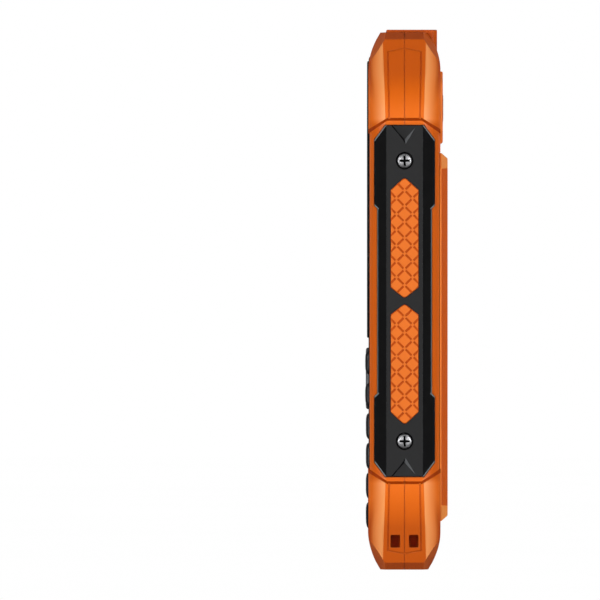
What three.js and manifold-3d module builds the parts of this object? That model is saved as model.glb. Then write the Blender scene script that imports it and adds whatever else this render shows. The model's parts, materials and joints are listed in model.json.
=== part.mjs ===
// Rugged handset with a built-in power bank: a two-shell case with armoured ends, screwed-on side panels,
// a keypad, a torch in the top end, a USB output in the bottom end and a lift-off battery cover.
// Millimetres. The handset stands upright on the XY plane: +Z runs up its length, +X to its right-hand side
// and +Y to its back. Z = 0 is the bottom end and Y = 0 is the seam between the front and rear shells.
import * as THREE from 'three';
import { mergeVertices } from 'three/addons/utils/BufferGeometryUtils.js';
import Module from 'manifold-3d';

const wasm = await Module();
wasm.setup();
const { lerp, mapLinear, clamp, degToRad, radToDeg } = THREE.MathUtils;

// ---------------------------------------------------------------- driving dimensions
const LENGTH = 134.4;
const MIDDLE = LENGTH / 2;
const HALF_WIDTH = 30;
const HALF_THICK = 9;          // armoured ends, seam to front or back
const FAR = 200;               // past the handset in any direction

// Armoured ends. t is the distance from the nearer end of the handset.
const END_HALF_WIDTH = 14.5;   // flat part of each end
const END_SLOPE = 1.8;         // shallow slope beside the flat end takes this much of t
const SHOULDER_HALF_WIDTH = 18.8;
const CORNER_TILT = degToRad(39);
const CORNER_RADIUS = 17;
const CORNER_END = 21.4;       // t where the corner's arc has become the straight side
const CORNER_STEPS = 4;
const END_HALF_THICK = 6;
const THIN_LENGTH = 9.5;       // t over which the thickness grows to full
const BAND_AT_END = 5.4;       // half-width of the flat band down each side
const BAND_AT_MIDDLE = 4.8;
const FACET_FROM = degToRad(20);  // the rounded edge's slope beside the band
const FACET_TO = degToRad(75);    // and beside the front or back face
const FACET_STEPS = 4;

// Raised pentagon at each end of each side, outlined by a groove.
const PENTAGON = { tip: 63.1, shoulder: 62.3, half: 4.15, foot: 44.5, footHalf: 3.82 };
const GROOVE = { width: 0.38, depth: 0.35 };

// Middle stretch, set back from the armoured ends. Heights are from the middle of the handset.
const FRAME = { halfWidth: 29.2, halfThick: 8.7, reach: 47 };
const STEP = { flat: 4.3, floor: 45, floorSlope: 0.68, rim: 45.7, rimSlope: 0.6 };
const SEAM_GAP = 0.1;          // each shell stops this far from Y = 0
const CAVITY = { half: 25, endHalf: 21.6, end: 10, corner: 4, halfThick: 6.3 };
const END_POCKET = { half: 16, halfThick: 4.4, from: 2.5 };
const TONGUE = { inner: 0.1, outer: 0.8, depth: 1, clearance: 0.2 };

// Side panels, their grips and their screws. Heights are from the middle of the handset.
const PANEL = {
  end: 43.85, endHalf: 4.8, half: 7.5, cornerZ: 40.25,
  hipZ: 23.8, waistHalf: 6.75, waistZ: 23.05,
};
const PANEL_SEAT = 26.4;
const PANEL_BACK = 26.5;
const PANEL_FACE = 30.1;
const PANEL_BAND = 4.5;        // half-width of its flat face
const PANEL_DROP = 2;          // from there to its long edges
const CHEVRON = { tip: 39.65, half: 4.2, depth: 0.5 };
const GRIP = {
  near: 0.95, far: 30.6, half: 3.45, nearShoulder: 3.4, farShoulder: 27.7,
  seat: 29, face: 30.5, bevel: 0.3,
};
const SIDE_SCREW = { z: 35, seat: 28.85, head: 1.9, sink: 2.2, shank: 1, length: 4.6, boss: 2.5 };

// Front face.
const FASCIA = {
  half: 24.4, endHalf: 16.8, bottom: 8, top: 128.2, corner: 7.9, topCorner: 9.7,
  face: -8.85, back: -7.6,
};
const FASCIA_SEAT = -7.5;
const KEY_WELL = { half: 23.3, endHalf: 17, bottom: 9.5, top: 57 };
const SCREEN_WELL = { half: 22, endHalf: 18.6, bottom: 59, top: 124, corner: 4 };
const LENS = { half: 23.2, endHalf: 15.8, bottom: 58, top: 127.2, corner: 9.2, face: -9.15, back: -8.2 };
const WINDOW = { half: 19.5, bottom: 66, top: 117 };
const EARPIECE = { z: 122.5, width: 10, slot: 1.2 };

// Keys.
const KEY_TRAVEL = 0.35;
const KEY_GAP = 0.2;           // all round, in the fascia
const FLANGE = { grow: 0.45, front: -7.5, back: -7 };
const KEY_PITCH = { x: 15.3, z: 7.45 };
const LAST_ROW = 13.45;
const KEY = { width: 14.2, height: 6.3, radius: 1.4, face: -9.55 };
const SIDE_KEY = { x: 17, width: 11, height: 5.9, radius: 1.2, upper: 51.8, lower: 43.7, face: -9.7 };
const KEY_CORNER = { x: 1.3, z: -3.15 };  // from here the lowest outer keys are cut at 45 degrees
const RING = { z: 47.8, width: 19.6, height: 15.4, radius: 5, face: -9.6 };
const OK = { width: 9, height: 7, radius: 2.4, gap: 0.3, lip: -7.9, face: -9.5 };

// Back face.
const BAY = { half: 21, bottom: 23.9, top: 98.1, floor: 1, wall: 1.1 };
const BATTERY = { half: 20.6, bottom: 24.3, top: 97.7, front: 1.3, back: 9.2 };
const COVER = {
  half: 24.6, endHalf: 19.6, bottom: 12.2, top: 104.2, corner: 3.9,
  seat: 8.8, face: 10.8, skin: 1.3, slope: 1.5,
};
const SEAL = { half: 22.9, bottom: 22.4, top: 100.6, width: 1, groove: 7.9 };
const COVER_SCREW = { x: 14.5, z: 17.5, head: 2.8, shank: 1.3, seat: 9.6, tip: 4.6 };
const UPPER_PLATE = { half: 20, endHalf: 16, bottom: 106.7, top: 124.6, corner: 3, seat: 8.4, face: 9.6 };
const CAMERA = { x: -9, z: 115.6, barrel: 2.9 };
const SPEAKER = { x: 8, z: 115.6, width: 16, height: 11, slot: 0.8, pitch: 1.7, slots: 5 };

// Ends.
const TORCH = {
  half: 11, front: -4.5, back: 8.2, bottom: 125.2, top: 135.1, wall: 2, bowlX: 4.3, bowlY: 1.9,
};
const FLAP = { half: 13.8, halfThick: 4.1, thick: 1.3, hingeY: 4.25 };
const PORTS = { half: 12.8, halfThick: 3.65, sockets: 4 };
const BOARD = { front: -4.1, back: -3.1 };
const STRAP = { y: 2.3, z: 7.2, width: 2.4, height: 3.2, from: 18, bar: 20.5 };

// ---------------------------------------------------------------- solids
// A closed three.js geometry as a solid that can be cut and joined.
function solid(geometry) {
  const bare = geometry.index ? geometry.toNonIndexed() : geometry.clone();
  bare.deleteAttribute('normal');
  bare.deleteAttribute('uv');
  const merged = mergeVertices(bare, 1e-4);
  return new wasm.Manifold(new wasm.Mesh({
    numProp: 3,
    vertProperties: merged.attributes.position.array,
    triVerts: new Uint32Array(merged.index.array),
  }));
}

function geometryOf(part) {
  const mesh = part.getMesh();
  const geometry = new THREE.BufferGeometry();
  geometry.setAttribute('position', new THREE.BufferAttribute(mesh.vertProperties.slice(), 3));
  geometry.setIndex(new THREE.BufferAttribute(mesh.triVerts.slice(), 1));
  geometry.computeVertexNormals();
  return geometry;
}

const cut = (part, ...tools) => tools.reduce((left, tool) => left.subtract(tool), part);
const join = (part, ...others) => others.reduce((whole, other) => whole.add(other), part);
const move = (part, x, y, z) => part.translate([x, y, z]);
const mirrorX = (part) => part.mirror([1, 0, 0]);
const bothSides = (part) => join(part, mirrorX(part));
const bothEnds = (part) => join(part, move(part.mirror([0, 0, 1]), 0, 0, LENGTH));

const X = new THREE.Vector3(1, 0, 0);
const Y = new THREE.Vector3(0, 1, 0);
const Z = new THREE.Vector3(0, 0, 1);

// An outline swept between two depths and laid on the axes given for its u, its v and its depth.
function prism(shape, from, to, [u, v, w], { bevel = 0, curveSegments = 1 } = {}) {
  const geometry = new THREE.ExtrudeGeometry(shape, {
    depth: to - from - 2 * bevel,
    curveSegments,
    bevelEnabled: bevel > 0,
    bevelThickness: bevel,
    bevelSize: bevel,
    bevelOffset: -bevel,
    bevelSegments: 1,
  });
  geometry.translate(0, 0, from + bevel);
  geometry.applyMatrix4(new THREE.Matrix4().makeBasis(u, v, w));
  return solid(geometry);
}

const prismX = (shape, from, to, options) => prism(shape, from, to, [Y, Z, X], options);
const prismZ = (shape, from, to, options) => prism(shape, from, to, [X, Y, Z], options);
// Drawn as (x, z) and swept along Y.
const prismY = (shape, from, to, options) => prism(shape, -to, -from, [X, Z, Y.clone().negate()], options);

function box(x0, x1, y0, y1, z0, z1) {
  const geometry = new THREE.BoxGeometry(x1 - x0, y1 - y0, z1 - z0);
  return move(solid(geometry), (x0 + x1) / 2, (y0 + y1) / 2, (z0 + z1) / 2);
}

// A profile of (radius, height) points turned about an axis.
function turned(profile, axis, segments = 16) {
  const geometry = new THREE.LatheGeometry(profile.map(([r, h]) => new THREE.Vector2(r, h)), segments);
  geometry.applyQuaternion(new THREE.Quaternion().setFromUnitVectors(Y, axis));
  return solid(geometry);
}

const rod = (radius, from, to, axis, segments) =>
  turned([[0, from], [radius, from], [radius, to], [0, to]], axis, segments);

const outline = (points) => new THREE.Shape(points.map(([u, v]) => new THREE.Vector2(u, v)));

function rounded(u, v, width, height, radius) {
  const [left, right, low, high] = [u - width / 2, u + width / 2, v - height / 2, v + height / 2];
  const quarter = Math.PI / 2;
  const shape = new THREE.Shape();
  shape.absarc(right - radius, low + radius, radius, -quarter, 0);
  shape.absarc(right - radius, high - radius, radius, 0, quarter);
  shape.absarc(left + radius, high - radius, radius, quarter, 2 * quarter);
  shape.absarc(left + radius, low + radius, radius, 2 * quarter, 3 * quarter);
  shape.closePath();
  return shape;
}

const rectangle = (half, low, high) => outline([[-half, low], [half, low], [half, high], [-half, high]]);

// A plate seen from the front or back with its corners cut: grow pushes every edge out.
function plate({ half, endHalf, bottom, top, corner, topCorner = corner }, grow = 0) {
  const [side, end] = [half + grow, endHalf + grow / 2];
  const [low, high] = [bottom + corner - grow / 2, top - topCorner + grow / 2];
  return outline([
    [-end, bottom - grow], [end, bottom - grow], [side, low], [side, high],
    [end, top + grow], [-end, top + grow], [-side, high], [-side, low],
  ]);
}

// ---------------------------------------------------------------- case shape
const SIN_SPAN = Math.sin(FACET_TO) - Math.sin(FACET_FROM);
const COS_SPAN = Math.cos(FACET_FROM) - Math.cos(FACET_TO);
const ARC_START = CORNER_END - CORNER_RADIUS * Math.sin(CORNER_TILT);
const ARC_START_HALF_WIDTH = HALF_WIDTH - CORNER_RADIUS * (1 - Math.cos(CORNER_TILT));

function halfWidthAt(t) {
  if (t <= END_SLOPE) return mapLinear(t, 0, END_SLOPE, END_HALF_WIDTH, SHOULDER_HALF_WIDTH);
  if (t <= ARC_START) return mapLinear(t, END_SLOPE, ARC_START, SHOULDER_HALF_WIDTH, ARC_START_HALF_WIDTH);
  const angle = Math.asin(Math.max(0, CORNER_END - t) / CORNER_RADIUS);
  return HALF_WIDTH - CORNER_RADIUS * (1 - Math.cos(angle));
}

function halfThickAt(t) {
  const left = Math.max(0, 1 - t / THIN_LENGTH);
  return HALF_THICK - (HALF_THICK - END_HALF_THICK) * left * left;
}

const bandAt = (t) =>
  clamp(mapLinear(t, END_SLOPE, CORNER_END, BAND_AT_END, BAND_AT_MIDDLE), BAND_AT_MIDDLE, BAND_AT_END);

// One quarter of a cross-section: the band's edge, the rounded edge's curve, the flat face.
function quarterSection(width, thick, band) {
  const depth = (thick - band) * COS_SPAN / SIN_SPAN;
  return Array.from({ length: FACET_STEPS + 1 }, (_, i) => {
    const angle = lerp(FACET_FROM, FACET_TO, i / FACET_STEPS);
    return [
      width - depth * (Math.cos(FACET_FROM) - Math.cos(angle)) / COS_SPAN,
      band + (thick - band) * (Math.sin(angle) - Math.sin(FACET_FROM)) / SIN_SPAN,
    ];
  });
}

function fullSection(width, thick, band) {
  const quarter = quarterSection(width, thick, band);
  const back = [...quarter].reverse();
  return [
    ...quarter,
    ...back.map(([x, y]) => [-x, y]),
    ...quarter.map(([x, y]) => [-x, -y]),
    ...back.map(([x, y]) => [x, -y]),
  ];
}

const armourSection = (t) => fullSection(halfWidthAt(t), halfThickAt(t), bandAt(t));
const frameSection = fullSection(FRAME.halfWidth, FRAME.halfThick, BAND_AT_MIDDLE);

// The armoured shape over the whole length: one section swept in steps, each then given its own outline.
function armouredBody() {
  const arc = Array.from({ length: CORNER_STEPS + 1 }, (_, i) =>
    lerp(ARC_START, CORNER_END, i / CORNER_STEPS));
  const ends = [0, END_SLOPE, 0.45 * THIN_LENGTH, 0.7 * THIN_LENGTH, THIN_LENGTH, ...arc];
  const stations = [...ends, ...[...ends].reverse().map((t) => LENGTH - t)];
  const steps = stations.length - 1;
  const template = armourSection(CORNER_END);
  const options = { depth: steps, steps, bevelEnabled: false };
  const geometry = new THREE.ExtrudeGeometry(outline(template), options);
  const position = geometry.attributes.position;
  for (let i = 0; i < position.count; i++) {
    const z = stations[Math.round(position.getZ(i))];
    const distance = (k) => Math.hypot(template[k][0] - position.getX(i), template[k][1] - position.getY(i));
    const corner = template.reduce((best, _, k) => (distance(k) < distance(best) ? k : best), 0);
    const [x, y] = armourSection(Math.min(z, LENGTH - z))[corner];
    position.setXYZ(i, x, y, z);
  }
  return solid(geometry);
}

// Depth of a section's surface at a distance y from the seam.
function surfaceAt(section, y) {
  const quarter = section.slice(0, FACET_STEPS + 1);
  const next = quarter.findIndex((point) => point[1] >= y);
  if (next < 0) return quarter.at(-1)[0];
  if (next === 0) return quarter[0][0];
  const [[x0, y0], [x1, y1]] = [quarter[next - 1], quarter[next]];
  return mapLinear(y, y0, y1, x0, x1);
}

// What the middle stretch takes off the armour. The end walls lean from the frame's surface out to
// the armour's.
function middleRecess() {
  const armour = armourSection(CORNER_END);
  const ys = [0, STEP.flat, 5.2, 6, 6.8, 7.6, HALF_THICK, HALF_THICK + 2];
  const across = [...ys.slice(1).reverse().map((y) => -y), ...ys];
  const shape = outline([...across.map((y) => [y, -1]), ...[...across].reverse().map((y) => [y, 1])]);
  const geometry = new THREE.ExtrudeGeometry(shape, { depth: 3, steps: 3, bevelEnabled: false });
  const position = geometry.attributes.position;
  for (let i = 0; i < position.count; i++) {
    const y = position.getX(i);
    const beyond = Math.max(0, Math.abs(y) - STEP.flat);
    const level = Math.round(position.getZ(i));
    const inner = surfaceAt(frameSection, Math.abs(y));
    const outer = surfaceAt(armour, Math.abs(y));
    const depth = [inner - 5, inner, outer, HALF_WIDTH + 3][level];
    const reach = level < 2 ? STEP.floor - beyond * STEP.floorSlope : STEP.rim - beyond * STEP.rimSlope;
    position.setXYZ(i, depth, y, MIDDLE + Math.sign(position.getY(i)) * reach);
  }
  return bothSides(solid(geometry));
}

function panelPoints(grow = 0) {
  const { end, endHalf, half, cornerZ, waistHalf, waistZ, hipZ } = PANEL;
  const quarter = [
    [endHalf + grow / 2, end + grow],
    [half + grow, cornerZ + grow / 2],
    [half + grow, hipZ],
    [waistHalf + grow, waistZ],
  ];
  const back = [...quarter].reverse();
  return [
    ...quarter.map(([y, z]) => [y, MIDDLE + z]),
    ...back.map(([y, z]) => [y, MIDDLE - z]),
    ...quarter.map(([y, z]) => [-y, MIDDLE - z]),
    ...back.map(([y, z]) => [-y, MIDDLE + z]),
  ];
}

// The grooves round the four pentagons, a constant depth below the armour's surface.
function pentagonGrooves(armour) {
  const { tip, shoulder, half, foot, footHalf } = PENTAGON;
  const { width, depth } = GROOVE;
  const loop = (grow) => outline([
    [-footHalf - grow, foot - 1], [footHalf + grow, foot - 1], [half + grow, shoulder + grow / 2],
    [0, tip + grow], [-half - grow, shoulder + grow / 2],
  ]);
  const ring = cut(
    prismX(loop(width / 2), END_HALF_WIDTH, HALF_WIDTH + 1),
    prismX(loop(-width / 2), END_HALF_WIDTH - 1, HALF_WIDTH + 2));
  const oneSide = bothEnds(move(ring, 0, 0, MIDDLE));
  return bothSides(cut(oneSide, move(armour, -depth, 0, 0)));
}

// A box centred on the X axis.
const slab = (half, y0, y1, z0, z1) => box(-half, half, y0, y1, z0, z1);

const endHollow = bothEnds(
  slab(END_POCKET.half, -END_POCKET.halfThick, END_POCKET.halfThick, END_POCKET.from, CAVITY.end + 1));

const cavityPlate = (grow) => plate({ ...CAVITY, bottom: CAVITY.end, top: LENGTH - CAVITY.end }, grow);

// Two square holes on the right-hand side, joined behind a bar that a wrist strap loops round.
function strapChannel() {
  const { y, z, width, height, from, bar } = STRAP;
  const [low, high] = [z - height / 2, z + height / 2];
  const hole = (centre) => box(from, HALF_WIDTH, centre - width / 2, centre + width / 2, low, high);
  return join(hole(-y), hole(y), box(from, bar, -y, y, low, high));
}

// Openings in both ends for the torch, the port cover and the sockets.
function endOpenings() {
  const torch = slab(TORCH.half + 0.15, TORCH.front - 0.15, TORCH.back + 0.15, TORCH.bottom - 0.2, FAR);
  const flap = slab(FLAP.half + 0.3, -FLAP.halfThick - 0.25, FLAP.hingeY + 0.15, -1, FLAP.thick + 0.2);
  const ports = slab(PORTS.half, -PORTS.halfThick, PORTS.halfThick, 0, END_POCKET.from + 1);
  return [torch, flap, ports];
}

const sideScrewPlaces = [1, -1].flatMap((side) => [1, -1].map((end) => [side, MIDDLE + end * SIDE_SCREW.z]));
// A rod at every side screw, reaching in from the side to a distance x.
const atSideScrews = (radius, from, to) => sideScrewPlaces.map(([side, z]) =>
  move(rod(radius, Math.min(side * from, side * to), Math.max(side * from, side * to), X), 0, 0, z));
const atCoverScrews = (radius, from, to) => [1, -1].map((side) =>
  move(rod(radius, from, to, Y), side * COVER_SCREW.x, 0, COVER_SCREW.z));

function wholeCase() {
  const armour = armouredBody();
  const ends = cut(armour, middleRecess(), pentagonGrooves(armour));
  const frame = prismZ(outline(frameSection), MIDDLE - FRAME.reach, MIDDLE + FRAME.reach);
  const cavity = prismY(cavityPlate(0), -CAVITY.halfThick, CAVITY.halfThick);
  const pockets = bothSides(prismX(outline(panelPoints(0.15)), PANEL_SEAT, HALF_WIDTH + 3));
  return cut(join(ends, frame), cavity, endHollow, pockets, strapChannel(), ...endOpenings());
}

const handsetCase = wholeCase();

// A lip round the rear shell's mouth that stands in a rebate of the front shell.
const seamRing = (inner, outer, from, to) => cut(
  prismY(cavityPlate(outer), from, to),
  prismY(cavityPlate(inner), from - 1, to + 1));

// ---------------------------------------------------------------- shells
function frontHousing() {
  const half = handsetCase.intersect(box(-FAR, FAR, -FAR, -SEAM_GAP, -FAR, FAR));
  const { inner, outer, depth, clearance } = TONGUE;
  const rebate = seamRing(inner - 1, outer + clearance, -depth - clearance, 1);
  const seat = prismY(plate(FASCIA, 0.12), -FAR, FASCIA_SEAT);
  const { half: side, endHalf, bottom, top } = KEY_WELL;
  const keyWell = prismY(outline([
    [-endHalf, bottom], [endHalf, bottom], [side, bottom + side - endHalf], [side, top],
    [-side, top], [-side, bottom + side - endHalf],
  ]), -FAR, -CAVITY.halfThick + 1);
  const screenWell = prismY(plate(SCREEN_WELL), -FAR, -CAVITY.halfThick + 1);
  const boardRib = slab(side - 2,
    -CAVITY.halfThick - 0.2, BOARD.front - 0.05, top + 0.2, SCREEN_WELL.bottom - 0.2);
  return cut(join(half, boardRib), rebate, seat, keyWell, screenWell,
    ...atSideScrews(SIDE_SCREW.boss + 0.3, CAVITY.half - 2, PANEL_SEAT));
}

const sealOutline = (grow) => rectangle(SEAL.half + grow, SEAL.bottom - grow, SEAL.top + grow);

function rearHousing() {
  const half = handsetCase.intersect(box(-FAR, FAR, SEAM_GAP, FAR, -FAR, FAR));
  const { inner, outer, depth } = TONGUE;
  const tongue = cut(seamRing(inner, outer, -depth, 1), endHollow, ...endOpenings());
  const { half: side, bottom, top, floor, wall } = BAY;
  const tub = prismY(rectangle(side + wall, bottom - wall, top + wall), 0.2, FRAME.halfThick - 0.2);
  const bay = prismY(rectangle(side, bottom, top), floor, FAR);
  const cardWindow = box(-14, 14, -1, floor + 1, 60, 78);
  const contactWindow = box(-5, 5, 2.5, 5.5, bottom - wall - 1, bottom + 1);
  const coverSeat = prismY(plate(COVER, 0.2), COVER.seat - 0.1, FAR);
  const groove = cut(
    prismY(sealOutline(SEAL.width / 2 + 0.15), SEAL.groove, FAR),
    prismY(sealOutline(-SEAL.width / 2 - 0.15), 0, FAR + 1));
  const plateSeat = prismY(plate(UPPER_PLATE, 0.12), UPPER_PLATE.seat - 0.1, FAR);
  const cameraBore = move(rod(CAMERA.barrel + 0.3, 5, HALF_THICK + 1, Y), CAMERA.x, 0, CAMERA.z);
  const speakerWindow = move(box(-5, 5, 5, HALF_THICK + 1, -4, 4), SPEAKER.x, 0, SPEAKER.z);
  const rail = (x) => box(x - 0.7, x + 0.7, BOARD.back + 0.05, floor, bottom + 2, top - 2);
  const bosses = [
    rail(side),
    rail(-side),
    ...atSideScrews(SIDE_SCREW.boss, SIDE_SCREW.seat - SIDE_SCREW.length - 1, PANEL_SEAT - 0.05),
    ...atCoverScrews(3, 3.5, FRAME.halfThick - 0.2),
  ];
  return cut(join(half, tongue, tub, ...bosses),
    bay, cardWindow, contactWindow, coverSeat, groove, plateSeat, cameraBore, speakerWindow,
    ...atSideScrews(SIDE_SCREW.shank + 0.05, SIDE_SCREW.seat - SIDE_SCREW.length - 2, PANEL_SEAT + 1),
    ...atCoverScrews(COVER_SCREW.shank + 0.1, 3, HALF_THICK + 1));
}

// ---------------------------------------------------------------- side armour
function gripPoints(end, grow = 0) {
  const { near, far, half, nearShoulder, farShoulder } = GRIP;
  return [
    [0, near - grow], [half + grow, nearShoulder], [half + grow, farShoulder],
    [0, far + grow], [-half - grow, farShoulder], [-half - grow, nearShoulder],
  ].map(([y, z]) => [y, MIDDLE + end * z]);
}

function sidePanel() {
  const blank = prismX(outline(panelPoints()), PANEL_BACK, PANEL_FACE);
  const slope = prismZ(outline([
    [PANEL_FACE, PANEL_BAND], [PANEL_FACE - PANEL_DROP, PANEL.half],
    [PANEL_FACE - PANEL_DROP, PANEL.half + 1], [PANEL_FACE + 1, PANEL.half + 1],
    [PANEL_FACE + 1, PANEL_BAND],
  ]), MIDDLE - FRAME.reach, MIDDLE + FRAME.reach);
  const run = PANEL.end - CHEVRON.tip;
  const tilt = radToDeg(Math.atan2(CHEVRON.depth, run));
  const vee = outline([[0, 0], [CHEVRON.half * 1.5, run * 1.5], [-CHEVRON.half * 1.5, run * 1.5]]);
  const chevron = move(prismX(vee, 0, 3).rotate([0, tilt, 0]),
    PANEL_FACE - CHEVRON.depth, 0, MIDDLE + CHEVRON.tip);
  const gripSeats = [1, -1].map((end) => prismX(outline(gripPoints(end, 0.1)), GRIP.seat, PANEL_FACE + 1));
  const screwHoles = [1, -1].flatMap((end) => [
    move(rod(SIDE_SCREW.sink, SIDE_SCREW.seat - 0.05, PANEL_FACE + 1, X), 0, 0, MIDDLE + end * SIDE_SCREW.z),
    move(rod(SIDE_SCREW.shank + 0.15, PANEL_BACK - 1, PANEL_FACE, X), 0, 0, MIDDLE + end * SIDE_SCREW.z),
  ]);
  return cut(blank, slope, slope.mirror([0, 1, 0]), bothEnds(chevron), ...gripSeats, ...screwHoles);
}

const gripPad = (end) => prismX(outline(gripPoints(end)), GRIP.seat + 0.1, GRIP.face, { bevel: GRIP.bevel });

// Pan-head screw along +X, the underside of its head at x = 0, with a cross recess.
function sideScrew() {
  const { head, shank, length } = SIDE_SCREW;
  const body = turned([
    [0, -length], [shank * 0.7, -length], [shank, 0.4 - length], [shank, 0],
    [head, 0], [head, 0.45], [head * 0.8, 0.95], [head * 0.35, 1.15], [0, 1.15],
  ], X);
  const arm = box(0.45, 2, -1.1, 1.1, -0.22, 0.22);
  return cut(body, arm, arm.rotate([90, 0, 0]));
}

// ---------------------------------------------------------------- front face
// A key is drawn about its own centre: its outline pushed out by grow, and what is kept clear of it.
const keyShape = ({ width, height, radius }) => (grow) =>
  rounded(0, 0, width + 2 * grow, height + 2 * grow, radius + grow);

const navigationKey = { name: 'navigation', x: 0, z: RING.z, face: RING.face, shape: keyShape(RING) };
const okKey = { name: 'ok', x: 0, z: RING.z, face: OK.face, shape: keyShape(OK) };

// What the cut corner of the fascia takes off the lowest outer keys.
const cornerTrim = (side) => (grow) => {
  const [x, z] = [KEY_CORNER.x + grow * Math.SQRT2, KEY_CORNER.z];
  const points = [[x - 4, z - 4], [x + 12, z - 4], [x + 12, z + 12]];
  return prismY(outline(points.map(([u, v]) => [side * u, v])), -FAR, 0);
};

const digitNames = [['1', '2', '3'], ['4', '5', '6'], ['7', '8', '9'], ['star', '0', 'hash']];
const digitKeys = digitNames.flatMap((names, row) => names.map((name, column) => ({
  name,
  x: (column - 1) * KEY_PITCH.x,
  z: LAST_ROW + (digitNames.length - 1 - row) * KEY_PITCH.z,
  face: KEY.face,
  shape: keyShape(KEY),
  trim: row === digitNames.length - 1 && column !== 1 ? cornerTrim(column - 1) : null,
})));

// The keys beside the navigation ring are hollowed to follow it.
const { upper, lower } = SIDE_KEY;
const sideKeys = [['soft_left', -1, upper], ['soft_right', 1, upper], ['call', -1, lower], ['end', 1, lower]]
  .map(([name, side, z]) => ({
    name,
    x: side * SIDE_KEY.x,
    z,
    face: SIDE_KEY.face,
    shape: keyShape(SIDE_KEY),
    trim: (grow) => move(
      prismY(navigationKey.shape(1.1 - grow), -FAR, 0), -side * SIDE_KEY.x, 0, RING.z - z),
  }));

// A key cap that comes through the fascia, with a flange behind the fascia that keeps it in.
function keyCap({ shape, face, trim }) {
  const cap = prismY(shape(0), face, FLANGE.front + 0.05, { bevel: 0.25 });
  const flange = prismY(shape(FLANGE.grow), FLANGE.front, FLANGE.back);
  return trim ? join(cut(cap, trim(0)), cut(flange, trim(FLANGE.grow))) : join(cap, flange);
}

const navigationRing = () => cut(keyCap(navigationKey),
  prismY(okKey.shape(OK.gap), -FAR, 0),
  prismY(okKey.shape(FLANGE.grow + OK.gap), OK.lip, 0));

function keyOpening({ shape, trim, x, z }) {
  const hole = prismY(shape(KEY_GAP), -FAR, 0);
  return move(trim ? cut(hole, trim(KEY_GAP)) : hole, x, 0, z);
}

function earSlot(grow) {
  const { z, width, slot } = EARPIECE;
  return prismY(rounded(0, z, width + 2 * grow, slot + 2 * grow, slot * 0.45 + grow), -FAR, 0);
}

// The lens has cut corners at its top only.
function lensPlate(grow, from, to, options) {
  const { half, endHalf, bottom, top, corner } = LENS;
  return prismY(outline([
    [-half - grow, bottom - grow], [half + grow, bottom - grow], [half + grow, top - corner],
    [endHalf, top + grow], [-endHalf, top + grow], [-half - grow, top - corner],
  ]), from, to, options);
}

function frontFascia() {
  const blank = prismY(plate(FASCIA), FASCIA.face, FASCIA.back);
  const window = prismY(rectangle(WINDOW.half, WINDOW.bottom, WINDOW.top), -FAR, 0);
  const openings = [...digitKeys, ...sideKeys, navigationKey].map(keyOpening);
  return cut(blank, lensPlate(0.1, -FAR, LENS.back + 0.05), window, earSlot(0.2), ...openings);
}

const screenLens = () => cut(lensPlate(0, LENS.face, LENS.back, { bevel: 0.2 }), earSlot(0));

// ---------------------------------------------------------------- back face
const speakerSlots = () => Array.from({ length: SPEAKER.slots }, (_, i) => {
  const offset = (i - (SPEAKER.slots - 1) / 2) * SPEAKER.pitch;
  const length = 9 - Math.abs(offset);
  return prismY(rounded(SPEAKER.x, SPEAKER.z + offset, length, SPEAKER.slot, SPEAKER.slot * 0.4), 0, FAR);
});

function rearUpperPlate() {
  const blank = prismY(plate(UPPER_PLATE), UPPER_PLATE.seat, UPPER_PLATE.face, { bevel: 0.35 });
  return cut(blank, move(rod(3.6, 8, 12, Y, 20), CAMERA.x, 0, CAMERA.z), ...speakerSlots());
}

// A shallow tray: sloped sides, a flat face, and a flat flange that lies on the rear shell.
function batteryCover() {
  const { seat, face, skin, slope } = COVER;
  const tray = cut(prismY(plate(COVER), seat - slope + 0.5, face + slope, { bevel: slope }),
    box(-FAR, FAR, face, FAR, -FAR, FAR), box(-FAR, FAR, -FAR, seat, -FAR, FAR));
  const inside = box(-SEAL.half + 0.9, SEAL.half - 0.9, 0, face - skin, SEAL.bottom + 0.9, SEAL.top - 0.9);
  return cut(tray, inside, ...atCoverScrews(COVER_SCREW.head + 0.2, COVER_SCREW.seat, FAR),
    ...atCoverScrews(COVER_SCREW.shank + 0.15, 0, FAR));
}

const coverSeal = () => cut(
  prismY(sealOutline(SEAL.width / 2), SEAL.groove + 0.1, COVER.seat - 0.05),
  prismY(sealOutline(-SEAL.width / 2), 0, FAR));

// Coin-slot screw along +Y.
function coverScrew() {
  const { head, shank, seat, tip } = COVER_SCREW;
  const [under, top] = [seat + 0.1, COVER.face - 0.1];
  const body = turned([
    [0, tip], [shank - 0.3, tip], [shank, tip + 0.4], [shank, under],
    [head, under], [head, top - 0.3], [head - 0.3, top], [0, top],
  ], Y);
  return cut(body, box(-head - 1, head + 1, top - 0.55, top + 1, -0.45, 0.45));
}

// ---------------------------------------------------------------- torch and ports
function torchHead() {
  const { half, front, back, bottom, top, wall } = TORCH;
  const block = prismZ(outline([
    [-half, front], [half, front], [half, back - 1], [half - 1, back], [-half + 1, back], [-half, back - 1],
  ]), bottom, top);
  const well = slab(half - wall, front + wall, back - wall, bottom + wall, top + 1);
  const lensSeat = slab(half - 1.4, front + 1.4, back - 1.4, top - 1.2, top + 1);
  const wireHole = box(-3, 3, -1, 3, bottom - 1, bottom + wall + 1);
  return cut(block, well, lensSeat, wireHole);
}

function torchReflector() {
  const { half, front, back, top, wall, bowlX, bowlY } = TORCH;
  const low = top - 6.5;
  const bowl = turned([
    [0, low - 1], [1.6, low - 1], [1.6, low], [2.7, low + 1.4], [3.6, low + 3.4], [4, low + 6], [0, low + 6],
  ], Z);
  const block = slab(half - wall - 0.1, front + wall + 0.1, back - wall - 0.1, low, top - 1.3);
  return cut(block, move(bowl, -bowlX, bowlY, 0), move(bowl, bowlX, bowlY, 0));
}

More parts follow.
